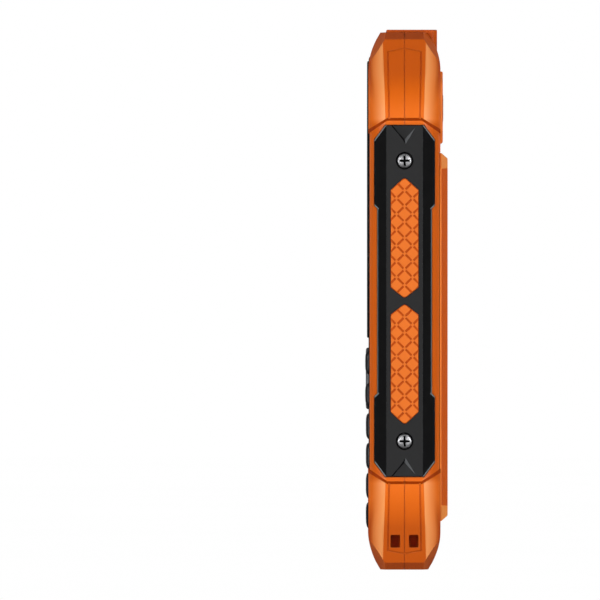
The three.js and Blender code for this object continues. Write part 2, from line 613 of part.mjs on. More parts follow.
function torchLed() {
  const { half, front, back, bottom, wall, bowlX, bowlY } = TORCH;
  const base = slab(half - wall - 0.2,
    front + wall + 0.2, back - wall - 0.2, bottom + wall + 0.1, bottom + 3.2);
  const die = (x) => box(x - 1, x + 1, bowlY - 1, bowlY + 1, bottom + 3, bottom + 4);
  return join(base, die(-bowlX), die(bowlX));
}

function torchLens() {
  const { half, front, back, top } = TORCH;
  return slab(half - 1.5, front + 1.5, back - 1.5, top - 1.1, top - 0.2);
}

// USB A, the power bank's output.
function usbOutSocket() {
  const [x, halfWidth, halfHeight, z, skin] = [-4.6, 6.55, 2.85, PORTS.sockets, 0.4];
  const shell = slab(halfWidth, -halfHeight, halfHeight, z, z + 14);
  const mouth = slab(halfWidth - skin, -halfHeight + skin, halfHeight - skin, z - 1, z + 12);
  const tongue = slab(halfWidth - 1.1, 0.1, 1.7, z + 1, z + 12.5);
  return move(join(cut(shell, mouth), tongue), x, 0, 0);
}

// USB C, for charging the handset.
function usbInSocket() {
  const [x, y, z, skin] = [8.2, -1.2, PORTS.sockets, 0.3];
  const tube = (inset, from, to) => prismZ(
    rounded(0, 0, 8.94 - 2 * inset, 3.26 - 2 * inset, 1.6 - inset), from, to, { curveSegments: 2 });
  const shell = cut(tube(0, z, z + 7.4), tube(skin, z - 1, z + 6.4));
  return move(join(shell, slab(3.3, -0.35, 0.35, z + 0.6, z + 7)), x, y, 0);
}

function portCover() {
  const { half, halfThick, thick } = FLAP;
  const cover = prismZ(rounded(0, 0, half * 2, halfThick * 2, 0.8), 0, thick, { bevel: 0.2 });
  const rim = cut(box(-12.2, 12.2, -3.2, 3.2, thick - 0.5, 2.2), box(-11.3, 11.3, -2.3, 2.3, thick, 4));
  return join(cover, rim);
}

// ---------------------------------------------------------------- inside
const lcdModule = () => cut(slab(21.4, -7.4, -5.1, 63, 120.6), slab(19.6, -9, -7.1, 65.8, 117.2));

const mainBoard = () => prismY(cavityPlate(-0.8), BOARD.front, BOARD.back);

const keyBoard = () => prismY(rounded(0, 33.2, 43, 43.6, 1), -5.2, -4.4);

// A post under every key except the navigation ring, just short of the key's flange.
function keypadMat() {
  const sheet = prismY(rounded(0, 33.2, 43, 43.6, 2), -6.2, -5.5);
  return join(sheet, ...[...digitKeys, ...sideKeys, okKey].map(({ x, z }) =>
    box(x - 1.5, x + 1.5, FLANGE.back + KEY_TRAVEL + 0.05, -6, z - 1.5, z + 1.5)));
}

function batteryPack() {
  const { half, bottom, top, front, back } = BATTERY;
  return prismY(rounded(0, (bottom + top) / 2, half * 2, top - bottom, 1.5), front, back, { bevel: 0.4 });
}

function batteryContacts() {
  const blade = (x) => box(x - 0.5, x + 0.5, 3.2, 4.6, 22, BAY.bottom + 0.2);
  return join(box(-4.6, 4.6, 2.8, 5.2, 19.5, 22.5), blade(-3), blade(0), blade(3));
}

function cameraModule() {
  return join(box(-4.2, 4.2, 0.6, 5, -4.2, 4.2), rod(CAMERA.barrel, 4.8, UPPER_PLATE.seat + 0.1, Y));
}

const cameraLens = () => turned([
  [0, 8.7], [3.4, 8.7], [3.4, 9.7], [3, 9.85], [2.4, 9.85], [2.2, 9.6], [0, 9.6],
], Y, 20);

const loudspeaker = () =>
  prismY(rounded(SPEAKER.x, SPEAKER.z, SPEAKER.width, SPEAKER.height, 2.5), 2.8, 6, { bevel: 0.4 });

const earpiece = () => prismY(rounded(0, EARPIECE.z, 12, 2.6, 1), -7.4, -5.6);

const shieldCan = () => prismY(rounded(-3, 93, 30, 18, 1), -2.9, -1.2, { bevel: 0.3 });

// ---------------------------------------------------------------- assembly
const finish = (options) => new THREE.MeshStandardMaterial(options);
const plastic = (color, roughness = 0.45) => finish({ color, roughness, metalness: 0 });
const metal = (color, roughness = 0.3) => finish({ color, roughness, metalness: 1 });
const orange = plastic(0xe97430);
const orangeGrip = plastic(0xef7b35, 0.6);
const black = plastic(0x1c1c1c, 0.5);
const rubber = plastic(0x161616, 0.8);
const steel = metal(0xc8c8c8);
const nickel = metal(0xb5b5b0, 0.35);
const chromed = metal(0xe6e6e6, 0.1);
const board = plastic(0x1f5a34);
const clear = finish({ color: 0xdde4e6, roughness: 0.05, transparent: true, opacity: 0.35 });
const darkGlass = plastic(0x0b0c0e, 0.08);
const batteryWrap = plastic(0x2d3e55, 0.4);

const handset = new THREE.Group();

function group(name) {
  const made = new THREE.Group();
  made.name = name;
  handset.add(made);
  return made;
}

function add(parent, name, part, material, place = [0, 0, 0]) {
  const mesh = new THREE.Mesh(geometryOf(part), material);
  mesh.name = name;
  mesh.position.set(...place);
  parent.add(mesh);
  return mesh;
}

const shells = group('shells');
add(shells, 'front_housing', frontHousing(), orange);
add(shells, 'rear_housing', rearHousing(), orange);
add(shells, 'rear_upper_plate', rearUpperPlate(), orange);
add(shells, 'front_fascia', frontFascia(), black);
add(shells, 'screen_lens', screenLens(), darkGlass);

const armour = group('side_armour');
for (const [side, label] of [[1, 'right'], [-1, 'left']]) {
  const toSide = (part) => (side > 0 ? part : mirrorX(part));
  add(armour, 'side_panel_' + label, toSide(sidePanel()), black);
  for (const [end, level] of [[1, 'upper'], [-1, 'lower']]) {
    add(armour, `grip_${label}_${level}`, toSide(gripPad(end)), orangeGrip);
    const place = [side * SIDE_SCREW.seat, 0, MIDDLE + end * SIDE_SCREW.z];
    add(armour, `side_screw_${label}_${level}`, toSide(sideScrew()), steel, place);
  }
}

const keypad = group('keypad');
for (const key of [...digitKeys, ...sideKeys, okKey]) {
  add(keypad, 'key_' + key.name, keyCap(key), black, [key.x, 0, key.z]);
}
add(keypad, 'key_navigation', navigationRing(), nickel, [0, 0, RING.z]);
add(keypad, 'keypad_mat', keypadMat(), rubber);
add(keypad, 'key_board', keyBoard(), board);

const inside = group('inside');
add(inside, 'lcd_module', lcdModule(), darkGlass);
add(inside, 'earpiece', earpiece(), nickel);
add(inside, 'main_board', mainBoard(), board);
add(inside, 'shield_can', shieldCan(), nickel);
add(inside, 'vibration_motor', rod(4, -2.9, -0.4, Y), nickel, [17.5, 0, 17]);
add(inside, 'sim_card_holder', box(-13.6, 13.6, -2.9, 0.9, 60.4, 77.6), nickel);
add(inside, 'loudspeaker', loudspeaker(), black);
add(inside, 'camera_module', cameraModule(), black, [CAMERA.x, 0, CAMERA.z]);
add(inside, 'camera_lens', cameraLens(), darkGlass, [CAMERA.x, 0, CAMERA.z]);

const power = group('power_bank');
add(power, 'battery_contacts', batteryContacts(), black);
add(power, 'battery_pack', batteryPack(), batteryWrap);
add(power, 'battery_cover', batteryCover(), orange);
add(power, 'cover_seal', coverSeal(), rubber);
add(power, 'cover_screw_right', coverScrew(), steel, [COVER_SCREW.x, 0, COVER_SCREW.z]);
add(power, 'cover_screw_left', coverScrew(), steel, [-COVER_SCREW.x, 0, COVER_SCREW.z]);
add(power, 'usb_out_socket', usbOutSocket(), nickel);
add(power, 'usb_in_socket', usbInSocket(), nickel);
add(power, 'port_cover', portCover(), rubber);

const torch = group('torch');
add(torch, 'torch_head', torchHead(), orange);
add(torch, 'torch_reflector', torchReflector(), chromed);
add(torch, 'torch_lens', torchLens(), clear);
add(torch, 'torch_led', torchLed(), board);

export default handset;
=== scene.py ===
"""Looks for the rugged handset with a built-in power bank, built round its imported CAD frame."""
import json
from math import asin, copysign, cos, hypot, pi, radians, sin, tan

import bmesh
import bpy
from mathutils import Matrix, Vector

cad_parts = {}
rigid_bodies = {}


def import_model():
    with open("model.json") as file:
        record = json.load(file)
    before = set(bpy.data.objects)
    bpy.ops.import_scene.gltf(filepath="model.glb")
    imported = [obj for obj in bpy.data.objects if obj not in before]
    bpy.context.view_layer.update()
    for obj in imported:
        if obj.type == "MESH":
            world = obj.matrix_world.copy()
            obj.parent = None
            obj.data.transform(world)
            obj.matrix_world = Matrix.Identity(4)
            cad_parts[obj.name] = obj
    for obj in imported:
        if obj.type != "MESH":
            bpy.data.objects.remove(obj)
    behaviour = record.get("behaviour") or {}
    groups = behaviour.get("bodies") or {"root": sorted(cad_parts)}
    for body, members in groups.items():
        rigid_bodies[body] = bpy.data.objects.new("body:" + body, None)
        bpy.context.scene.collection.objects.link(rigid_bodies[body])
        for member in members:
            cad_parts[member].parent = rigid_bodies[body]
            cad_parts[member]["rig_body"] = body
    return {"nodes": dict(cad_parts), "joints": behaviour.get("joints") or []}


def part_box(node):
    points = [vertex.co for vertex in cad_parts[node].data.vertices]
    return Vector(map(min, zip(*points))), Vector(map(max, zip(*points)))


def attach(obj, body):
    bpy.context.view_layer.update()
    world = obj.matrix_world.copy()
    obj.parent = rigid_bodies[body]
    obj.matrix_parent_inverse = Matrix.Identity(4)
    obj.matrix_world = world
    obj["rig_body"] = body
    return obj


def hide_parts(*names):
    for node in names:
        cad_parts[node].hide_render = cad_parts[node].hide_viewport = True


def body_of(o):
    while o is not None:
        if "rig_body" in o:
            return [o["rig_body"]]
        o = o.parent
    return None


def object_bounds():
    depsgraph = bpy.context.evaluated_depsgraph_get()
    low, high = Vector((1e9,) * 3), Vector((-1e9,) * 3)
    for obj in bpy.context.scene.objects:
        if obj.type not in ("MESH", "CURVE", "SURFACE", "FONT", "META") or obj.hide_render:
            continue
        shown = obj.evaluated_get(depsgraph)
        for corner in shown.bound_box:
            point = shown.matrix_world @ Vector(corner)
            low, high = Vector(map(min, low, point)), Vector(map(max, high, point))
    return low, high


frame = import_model()
cad_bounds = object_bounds()
MM = 0.001
scene = bpy.context.scene
workshop = bpy.data.collections.new("workshop")
scene.collection.children.link(workshop)


class Box:
    """Where a CAD node is at rest, in millimetres: its corners, and x, y and z of its middle."""

    def __init__(self, node):
        low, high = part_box(node)
        self.low, self.high = low / MM, high / MM
        self.x, self.y, self.z = [(a + b) / 2 for a, b in zip(self.low, self.high)]

    def seen(self, axis, grow=0.0):
        """Its limits as seen along an axis, moved outwards by a distance."""
        u, v = {"X": (1, 2), "Y": (0, 2), "Z": (0, 1)}[axis]
        return self.low[u] - grow, self.high[u] + grow, self.low[v] - grow, self.high[v] + grow


shell = Box("front_housing")
LENGTH = shell.high.z
MIDDLE = LENGTH / 2
PAST = 60.0  # clear of the handset on any side


# ---- solids, in millimetres
def in_workshop(mesh):
    obj = bpy.data.objects.new("solid", mesh)
    workshop.objects.link(obj)
    return obj


def solid(verts, faces):
    mesh = bpy.data.meshes.new("solid")
    mesh.from_pydata([tuple(v) for v in verts], [], faces)
    bm = bmesh.new()
    bm.from_mesh(mesh)
    bmesh.ops.recalc_face_normals(bm, faces=bm.faces)
    bm.to_mesh(mesh)
    bm.free()
    return in_workshop(mesh)


def put(u, v, w, axis):
    """A point drawn in a plane (u, v) at a depth w along an axis."""
    return {"X": (w, u, v), "Y": (u, w, v), "Z": (u, v, w)}[axis]


def band(start, after, count):
    """Faces between two rings of vertices."""
    return [[start + i, start + (i + 1) % count, after + (i + 1) % count, after + i] for i in range(count)]


def loft(rings, axis, closed=False):
    """A body through rings, each its points and its depth; it is capped, or closes on itself."""
    count = len(rings[0][0])
    verts = [put(u, v, w, axis) for points, w in rings for u, v in points]
    total = len(verts)
    last = total - count
    faces = [] if closed else [list(range(count)), list(range(last, total))]
    for start in range(0, total if closed else last, count):
        faces += band(start, (start + count) % total, count)
    return solid(verts, faces)


def anticlockwise(points):
    pairs = zip(points, points[1:] + points[:1])
    area = sum(a[0] * b[1] - b[0] * a[1] for a, b in pairs)
    return points if area > 0 else points[::-1]


def inset(points, distance):
    """An outline with every edge moved inwards."""
    points = anticlockwise(points)
    moved = []
    for i, (u, v) in enumerate(points):
        before = Vector(points[i]) - Vector(points[i - 1])
        after = Vector(points[(i + 1) % len(points)]) - Vector(points[i])
        n1 = Vector((-before.y, before.x)).normalized()
        n2 = Vector((-after.y, after.x)).normalized()
        step = (n1 + n2) * (distance / (1 + n1.dot(n2)))
        moved.append((u + step.x, v + step.y))
    return moved


def soften(points, radius, steps=6):
    """An outline with its corners rounded; radius is one number or one for each corner."""
    points = anticlockwise(points)
    radii = radius if isinstance(radius, list) else [radius] * len(points)
    out = []
    for i, corner in enumerate(points):
        p = Vector(corner)
        a = Vector(points[i - 1]) - p
        b = Vector(points[(i + 1) % len(points)]) - p
        reach = min(radii[i] / tan(a.angle(b) / 2), 0.48 * a.length, 0.48 * b.length)
        if reach < 1e-4:
            out.append(corner)
            continue
        start, end = p + a.normalized() * reach, p + b.normalized() * reach
        for k in range(steps + 1):
            t = k / steps
            q = start * (1 - t) ** 2 + p * (2 * t * (1 - t)) + end * t**2
            out.append((q.x, q.y))
    return out


def rectangle(u0, u1, v0, v1, radius=0, steps=6):
    points = [(u0, v0), (u1, v0), (u1, v1), (u0, v1)]
    return soften(points, radius, steps) if radius else points


def mirrored(points):
    """A left-right symmetric outline from its right half, bottom to top."""
    return points + [(-u, v) for u, v in reversed(points)]


def plate_outline(half, end_half, bottom, top, corner, top_corner=None, grow=0.0):
    top_corner = corner if top_corner is None else top_corner
    return mirrored([
        (end_half + grow / 2, bottom - grow),
        (half + grow, bottom + corner - grow / 2),
        (half + grow, top - top_corner + grow / 2),
        (end_half + grow / 2, top + grow),
    ])


def slab(points, low, high, axis, r_low=0.0, r_high=0.0, steps=4):
    """An outline swept along an axis, with the edges of its end faces rounded."""
    turns = [k / steps * pi / 2 for k in range(steps + 1)]
    start = [(r_low * (1 - sin(a)), low + r_low * (1 - cos(a))) for a in turns]
    end = [(r_high * (1 - cos(a)), high - r_high * (1 - sin(a))) for a in turns]
    levels = (start if r_low else [(0, low)]) + (end if r_high else [(0, high)])
    return loft([(inset(points, d) if d else anticlockwise(points), w) for d, w in levels], axis)


def block(u0, u1, v0, v1, low, high, axis="Z", radius=0, steps=6, r_low=0.0, r_high=0.0):
    return slab(rectangle(u0, u1, v0, v1, radius, steps), low, high, axis, r_low, r_high)


def lathe(profile, axis, centre=(0, 0, 0), segments=48):
    """A profile of (radius, height) points turned about an axis; it starts and ends on the axis."""
    verts, faces, rings = [], [], []
    for r, h in profile:
        count = segments if r > 0 else 1
        rings.append(range(len(verts), len(verts) + count))
        for k in range(count):
            a = 2 * pi * k / segments
            verts.append(put(r * cos(a), r * sin(a), h, axis))
    for a, b in zip(rings, rings[1:]):
        for i in range(segments):
            j = (i + 1) % segments
            quad = [a[i % len(a)], a[j % len(a)], b[j % len(b)], b[i % len(b)]]
            face = list(dict.fromkeys(quad))
            if len(face) > 2:
                faces.append(face)
    return shift(solid(verts, faces), *centre)


def rod(radius, low, high, axis, centre=(0, 0, 0), segments=32):
    return lathe([(0, low), (radius, low), (radius, high), (0, high)], axis, centre, segments)


def transformed(obj, matrix):
    obj.data.transform(matrix)
    if matrix.determinant() < 0:
        obj.data.flip_normals()
    return obj


def shift(obj, x=0, y=0, z=0):
    return transformed(obj, Matrix.Translation((x, y, z)))


def turn(obj, degrees, axis):
    return transformed(obj, Matrix.Rotation(radians(degrees), 4, axis))


def mirror(obj, axis, about=0.0):
    scale = [-1 if name == axis else 1 for name in "XYZ"]
    offset = [2 * about if name == axis else 0 for name in "XYZ"]
    return transformed(obj, Matrix.Translation(offset) @ Matrix.Diagonal((*scale, 1)))


def copy(obj):
    return in_workshop(obj.data.copy())


def with_mirrors(tools, *mirrors):
    """Solids with their mirror images; a mirror is its axis and where it lies on it."""
    for axis, about in mirrors:
        tools = tools + [mirror(copy(one), axis, about) for one in tools]
    return tools


def evaluated(obj):
    """The mesh of an object with its modifiers applied."""
    return bpy.data.meshes.new_from_object(obj.evaluated_get(bpy.context.evaluated_depsgraph_get()))


def combine(base, tools, operation):
    for tool in tools:
        modifier = base.modifiers.new("combine", "BOOLEAN")
        modifier.operation = operation
        modifier.solver = "MANIFOLD"
        modifier.object = tool
    mesh = evaluated(base)
    base.modifiers.clear()
    base.data = mesh
    for tool in tools:
        bpy.data.objects.remove(tool)
    return base


def cut(base, *tools):
    return combine(base, tools, "DIFFERENCE")


def join(base, *tools):
    return combine(base, tools, "UNION")


def keep(base, tool):
    return combine(base, [tool], "INTERSECT")


def both(obj, axis, about=0.0):
    """A solid joined to its mirror image."""
    return join(obj, mirror(copy(obj), axis, about))


# ---- pieces
SHARP = radians(17)


def piece(obj, name, material, node, replaces=True, sharp=SHARP):
    """Turns a solid in millimetres into a finished piece in metres that rides with a CAD node."""
    mesh = obj.data
    mesh.transform(Matrix.Scale(MM, 4))
    obj.name = mesh.name = name
    workshop.objects.unlink(obj)
    scene.collection.objects.link(obj)
    mesh.polygons.foreach_set("use_smooth", [True] * len(mesh.polygons))
    mesh.set_sharp_from_angle(angle=sharp)
    obj.modifiers.new("weighted_normals", "WEIGHTED_NORMAL").keep_sharp = True
    kinds = [polygon.material_index for polygon in mesh.polygons]
    mesh.materials.clear()
    for one in material if isinstance(material, list) else [material]:
        mesh.materials.append(one)
    if isinstance(material, list):
        mesh.polygons.foreach_set("material_index", kinds)
    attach(obj, body_of(frame["nodes"][node])[0])
    if replaces:
        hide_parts(node)


def fine(node, obj, material):
    """The finer stand-in for a CAD node."""
    piece(obj, node + "_fine", material, node)


# ---- materials
WHITE = (1.0, 1.0, 1.0, 1.0)


def srgb(r, g, b):
    def linear(c):
        c /= 255
        return c / 12.92 if c <= 0.04045 else ((c + 0.055) / 1.055) ** 2.4

    return (linear(r), linear(g), linear(b), 1.0)


class Nodes:
    """A short way to write a node tree; an input takes a value or another node's output."""

    def __init__(self, owner, output):
        owner.use_nodes = True
        self.tree = owner.node_tree
        self.tree.nodes.clear()
        self.output = self.add(output)

    def feed(self, node, inputs):
        for key, value in inputs.items():
            if isinstance(value, bpy.types.NodeSocket):
                self.tree.links.new(value, node.inputs[key])
            else:
                node.inputs[key].default_value = value

    def add(self, kind, inputs=None, **settings):
        node = self.tree.nodes.new("ShaderNode" + kind)
        for key, value in settings.items():
            setattr(node, key, value)
        self.feed(node, inputs or {})
        return node

    def get(self, kind, inputs=None, output=0, **settings):
        return self.add(kind, inputs, **settings).outputs[output]

    def ramp(self, source, low, high, out_low=0.0, out_high=1.0):
        return self.get("MapRange", {"Value": source, "From Min": low, "From Max": high,
                                     "To Min": out_low, "To Max": out_high})

    def mix(self, factor, a, b, **settings):
        return self.get("Mix", {0: factor, 6: a, 7: b}, 2, data_type="RGBA", **settings)

    # A multiplying mix; the script uses it to paint shade into colours.
    def painted_shading(self, factor, a, b):
        return self.mix(factor, a, b, blend_type="MULTIPLY")

    def math(self, operation, a, b=0.0):
        return self.get("Math", {0: a, 1: b}, operation=operation)

    def times(self, a, b):
        return self.math("MULTIPLY", a, b)

    def without(self, mask, full=1.0):
        """1 where a mask is 0, and 0 where it is full."""
        return self.ramp(mask, 0.0, full, 1.0, 0.0)

    def either(self, factor, a, b):
        return self.get("MixShader", {0: factor, 1: a, 2: b})


class Finish(Nodes):
    """A material whose patterns are laid out in millimetres."""

    def __init__(self, name):
        self.material = bpy.data.materials.new(name)
        super().__init__(self.material, "OutputMaterial")
        self.coordinates = self.add("TexCoord")
        self.place = self.get("VectorMath", {0: self.coordinates.outputs["Object"], "Scale": 1 / MM},
                              operation="SCALE")

    def noise(self, scale, detail=3.0, roughness=0.5, stretch=None):
        """Noise in a pattern with `scale` features to the millimetre."""
        source = self.get("Mapping", {0: self.place, "Scale": stretch}) if stretch else self.place
        return self.get("TexNoise", {"Vector": source, "Scale": scale, "Detail": detail,
                                     "Roughness": roughness})

    def facing(self):
        """The object's normal, how far it turns to the front or back, and how far to either end."""
        normal = self.add("SeparateXYZ", {0: self.coordinates.outputs["Normal"]})
        return normal, self.math("ABSOLUTE", normal.outputs["Y"]), self.math("ABSOLUTE", normal.outputs["Z"])

    def edges(self, radius):
        """1 on edges that catch wear, 0 on open faces; also gives the rounded normal."""
        rounded = self.get("Bevel", {"Radius": radius * MM}, samples=4)
        flat = self.get("NewGeometry", output="Normal")
        alike = self.get("VectorMath", {0: rounded, 1: flat}, "Value", operation="DOT_PRODUCT")
        return self.ramp(alike, 0.97, 0.8), rounded

    def surface(self, inputs, height, depth, rounded, strength=1.0):
        """The finished material, with a bump of a depth in millimetres."""
        bump = self.get("Bump", {"Height": height, "Distance": depth * MM, "Strength": strength,
                                 "Normal": rounded})
        shader = self.get("BsdfPrincipled", {**inputs, "Normal": bump})
        self.feed(self.output, {0: shader})
        return self.material


def shade(colour, factor):
    return tuple(min(1.0, c * factor) for c in colour[:3]) + (1.0,)


# Painted shade: colour multipliers for the recess's end walls, the sloping ends, the frame's leaning strips,
# the outer facets and the cover's long sloped sides.
STEP_SHADE, SLOPE_SHADE = (0.6, 0.45, 0.25, 1.0), (0.66, 0.5, 0.35, 1.0)
FRAME_SHADE, OUTER_SHADE = (0.82, 0.74, 0.5, 1.0), (0.6, 0.4, 0.2, 1.0)
COVER_SIDE_SHADE = (0.82, 0.66, 0.36, 1.0)
RIM_HIGHLIGHT_SHARE = 0.55  # how far a plate's rim goes towards the painted highlight orange


def across_facets(n, colour, highlight_colour):
    """Painted light on the armour: a painted highlight where its facets turn away from its sides, and
    painted shade where its ends slope off, on the leaning strips of the frame, on the outer facets where
    they slope and on the leaning end walls of the middle recess.
    """
    normal, turned, sloped = n.facing()
    height = n.get("SeparateXYZ", {0: n.place}, "Z")
    from_middle = n.math("SUBTRACT", height, MIDDLE)
    inwards = n.ramp(n.times(normal.outputs["Z"], n.math("SIGN", from_middle)), -0.15, -0.4)
    armoured = n.ramp(n.math("ABSOLUTE", from_middle), 44.0, 45.5)
    facet = n.times(n.ramp(turned, 0.25, 0.33), n.ramp(turned, 0.36, 0.85, 1.0, 0.0))
    facet = n.times(n.times(facet, n.without(inwards)), armoured)
    leaning = n.times(n.ramp(turned, 0.25, 0.4), n.ramp(turned, 0.9, 0.98, 1.0, 0.0))
    colour = n.painted_shading(n.times(leaning, n.without(armoured)), colour, FRAME_SHADE)
    colour = n.mix(n.times(facet, 0.9), colour, highlight_colour)
    colour = n.painted_shading(n.times(n.ramp(sloped, 0.08, 0.95), n.without(facet, 0.6)), colour, SLOPE_SHADE)
    outer = n.times(n.ramp(turned, 0.68, 0.9), n.ramp(sloped, 0.1, 0.3))
    outer = n.times(outer, n.ramp(turned, 0.985, 0.995, 1.0, 0.0))
    colour = n.painted_shading(n.times(outer, 0.9), colour, OUTER_SHADE)
    return n.painted_shading(n.times(inwards, 0.9), colour, STEP_SHADE)


def across_rims(n, colour, highlight_colour):
    """A painted highlight on the narrow walls round a plate."""
    _, turned, _ = n.facing()
    return n.mix(n.ramp(turned, 0.1, 0.8, RIM_HIGHLIGHT_SHARE, 0.0), colour, highlight_colour)


def across_cover(n, colour, highlight_colour):
    """A painted highlight on the cover's rim and its sloped ends and corners, and painted shade on its long
    sloped sides.
    """
    _, turned, sloped = n.facing()
    colour = n.mix(n.ramp(turned, 0.1, 0.2, RIM_HIGHLIGHT_SHARE, 0.0), colour, highlight_colour)
    leaning = n.times(n.ramp(turned, 0.2, 0.5), n.ramp(turned, 0.975, 0.99, 1.0, 0.0))
    end = n.times(leaning, n.ramp(sloped, 0.1, 0.3))
    side = n.times(leaning, n.ramp(sloped, 0.05, 0.15, 1.0, 0.0))
    return n.painted_shading(side, n.mix(n.times(end, 0.85), colour, highlight_colour), COVER_SIDE_SHADE)


def moulded(name, colour, roughness=0.42, grain=5.0, depth=0.012, mottle=0.06, wear=0.25, edge=0.12,
            specular=0.5, metallic=0.0, worn=None, crevice_shade=0.3, painted_shading=None, highlight_colour=None):
    """Moulded plastic or rubber: mottled colour, fine eroded grain, edges rubbed paler, painted shade in
    crevices, and painted highlights and shade from a given function.
    """
    n = Finish(name)
    base = srgb(*colour)
    colour = n.mix(n.noise(0.12, 4.0, 0.6), shade(base, 1 - mottle), shade(base, 1 + mottle))
    speck = n.ramp(n.noise(3.1, 2.0), 0.35, 0.7, 0.0, 0.15)
    colour = n.mix(speck, colour, shade(base, 1 - 1.6 * mottle))
    # Painted highlights and painted shade, laid over the colour by the given function.
    if painted_shading:
        colour = painted_shading(n, colour, srgb(*highlight_colour))
    mask, rounded = n.edges(edge)
    rubbed = n.times(mask, n.ramp(n.noise(0.9, 3.0), 0.3, 0.7, 0.3 * wear, wear))
    colour = n.mix(rubbed, colour, srgb(*worn) if worn else shade(base, 1.5))
    # Painted shade: the colour goes darker in crevices that ambient occlusion finds.
    open_sky = n.get("AmbientOcclusion", {"Distance": 1.6 * MM}, "AO", samples=6)
    painted_crevice_shade = n.ramp(open_sky, 0.25, 0.9, crevice_shade, 0.0)
    return n.surface({
        "Base Color": n.mix(painted_crevice_shade, colour, shade(base, 0.3)),
        "Roughness": n.ramp(n.noise(0.35, 3.0), 0.3, 0.7, roughness - 0.05, roughness + 0.06),
        "Specular IOR Level": specular,
        "Metallic": metallic,
    }, n.noise(grain, 3.0, 0.6), depth, rounded, 0.6)


def machined(name, colour, roughness=0.25, stretch=(1.0, 1.0, 1.0), scratch=6.0):
    """Plated or brushed metal with fine scratches and brighter edges."""
    n = Finish(name)
    base = srgb(*colour)
    lines = n.noise(scratch, 4.0, 0.65, stretch)
    colour = n.mix(n.noise(0.8, 3.0), shade(base, 0.86), shade(base, 1.08))
    mask, rounded = n.edges(0.08)
    return n.surface({
        "Base Color": n.mix(n.times(mask, 0.5), colour, shade(base, 1.3)),
        "Roughness": n.ramp(lines, 0.3, 0.7, roughness * 0.7, roughness * 1.5),
        "Metallic": 1.0,
    }, lines, 0.004, rounded, 0.5)


def polished(name, colour, roughness=0.06, transmission=0.0, ior=1.5):
    """Glass or clear plastic, with faint smudges in its gloss."""
    n = Finish(name)
    base = srgb(*colour)
    smudge = n.noise(0.09, 5.0, 0.65)
    return n.surface({
        "Base Color": n.mix(smudge, shade(base, 0.9), shade(base, 1.1)),
        "Roughness": n.ramp(smudge, 0.4, 0.75, roughness, roughness + 0.07),
        "Transmission Weight": transmission,
        "IOR": ior,
    }, n.noise(0.5, 2.0), 0.001, n.edges(0.1)[1])


# The second orange is a painted highlight colour.
ORANGE, HIGHLIGHT_ORANGE = (235, 110, 21), (255, 158, 76)
armour_finish = dict(roughness=0.36, grain=4.5, depth=0.007, mottle=0.035, wear=0.3, specular=0.17,
                     worn=(255, 170, 110))
# The armour, cover and plate take painted highlights and painted shade from across_facets, across_cover and
# across_rims.
orange = moulded("orange_armour", ORANGE, **armour_finish, painted_shading=across_facets, highlight_colour=(255, 166, 98))
cover_orange = moulded("orange_cover", ORANGE, **armour_finish, crevice_shade=0.1, painted_shading=across_cover,
                       highlight_colour=HIGHLIGHT_ORANGE)
plate_orange = moulded("orange_plate", ORANGE, **armour_finish, crevice_shade=0.06, painted_shading=across_rims,
                       highlight_colour=HIGHLIGHT_ORANGE)
# A darker orange on the torch head, as painted shade.
shaded_torch_orange = moulded("orange_torch", (194, 80, 8), **armour_finish)
orange_grip = moulded("orange_grip", (230, 114, 31), 0.55, grain=3.2, depth=0.02, mottle=0.04,
                      wear=0.3, specular=0.2, worn=(255, 165, 105))
# A darker orange on the grip's groove faces, as painted shade.
groove_shade_orange = moulded("grip_groove", (204, 84, 12), 0.7, grain=3.2, depth=0.02, mottle=0.08,
                        wear=0.0, specular=0.15, crevice_shade=0.15)
panel_black = moulded("panel_black", (34, 34, 35), 0.5, grain=3.6, depth=0.018, mottle=0.08,
                      wear=0.55, specular=0.2, worn=(110, 112, 114))
# The side panels' slopes: a darker black as painted shade, and also a rougher, less glossy finish.
panel_slope = moulded("panel_slope", (11, 11, 12), 0.65, grain=2.6, depth=0.025, mottle=0.1,
                      wear=0.9, edge=0.3, specular=0.08, worn=(120, 128, 130))
# Near-black as painted shade in the side screws' recesses and cross slots, and on the chevrons' dark wall
# and line.
recess_shade = moulded("deep_recess", (7, 7, 8), 0.7, grain=2.6, mottle=0.1, wear=0.0, specular=0.05)
# Painted highlights: pale grey on the side panels' corner and waist chamfers, and mid grey on the lit wall
# of each chevron.
painted_highlight_finish = dict(roughness=0.55, grain=2.6, depth=0.02, mottle=0.15, specular=0.15)
panel_edge_highlight = moulded("panel_rubbed", (132, 136, 138), **painted_highlight_finish)
panel_lit = moulded("panel_chevron", (92, 94, 96), **painted_highlight_finish)
fascia_black = moulded("fascia_black", (18, 19, 21), 0.34, grain=6.0, depth=0.006, mottle=0.08,
                       wear=0.15, specular=0.3, worn=(60, 62, 66))
key_black = moulded("key_black", (24, 27, 32), 0.4, grain=4.0, depth=0.01, mottle=0.08,
                    wear=0.4, worn=(96, 100, 108))
key_grey = moulded("key_grey", (98, 100, 104), 0.42, grain=6.0, depth=0.006, mottle=0.06,
                   wear=0.4, metallic=0.4, worn=(170, 172, 176))
rubber_black = moulded("rubber_black", (26, 26, 27), 0.68, grain=3.0, depth=0.02, mottle=0.1,
                       wear=0.35, specular=0.3, worn=(80, 80, 80))
plastic_black = moulded("plastic_black", (22, 22, 23), 0.5, mottle=0.1)
print_pale = moulded("print_pale", (205, 210, 214), 0.5, mottle=0.05, wear=0.2)
print_green = moulded("print_green", (52, 168, 84), 0.5, mottle=0.06, wear=0.2)
print_red = moulded("print_red", (205, 48, 44), 0.5, mottle=0.06, wear=0.2)
steel = machined("bright_steel", (172, 172, 174), 0.4, scratch=5.0)
nickel = machined("nickel_sheet", (188, 186, 180), 0.3, stretch=(1.0, 0.2, 1.0))
gold = machined("gold_contact", (214, 176, 92), 0.25)
mirror_metal = machined("reflector_metal", (240, 240, 240), 0.08, scratch=2.0)
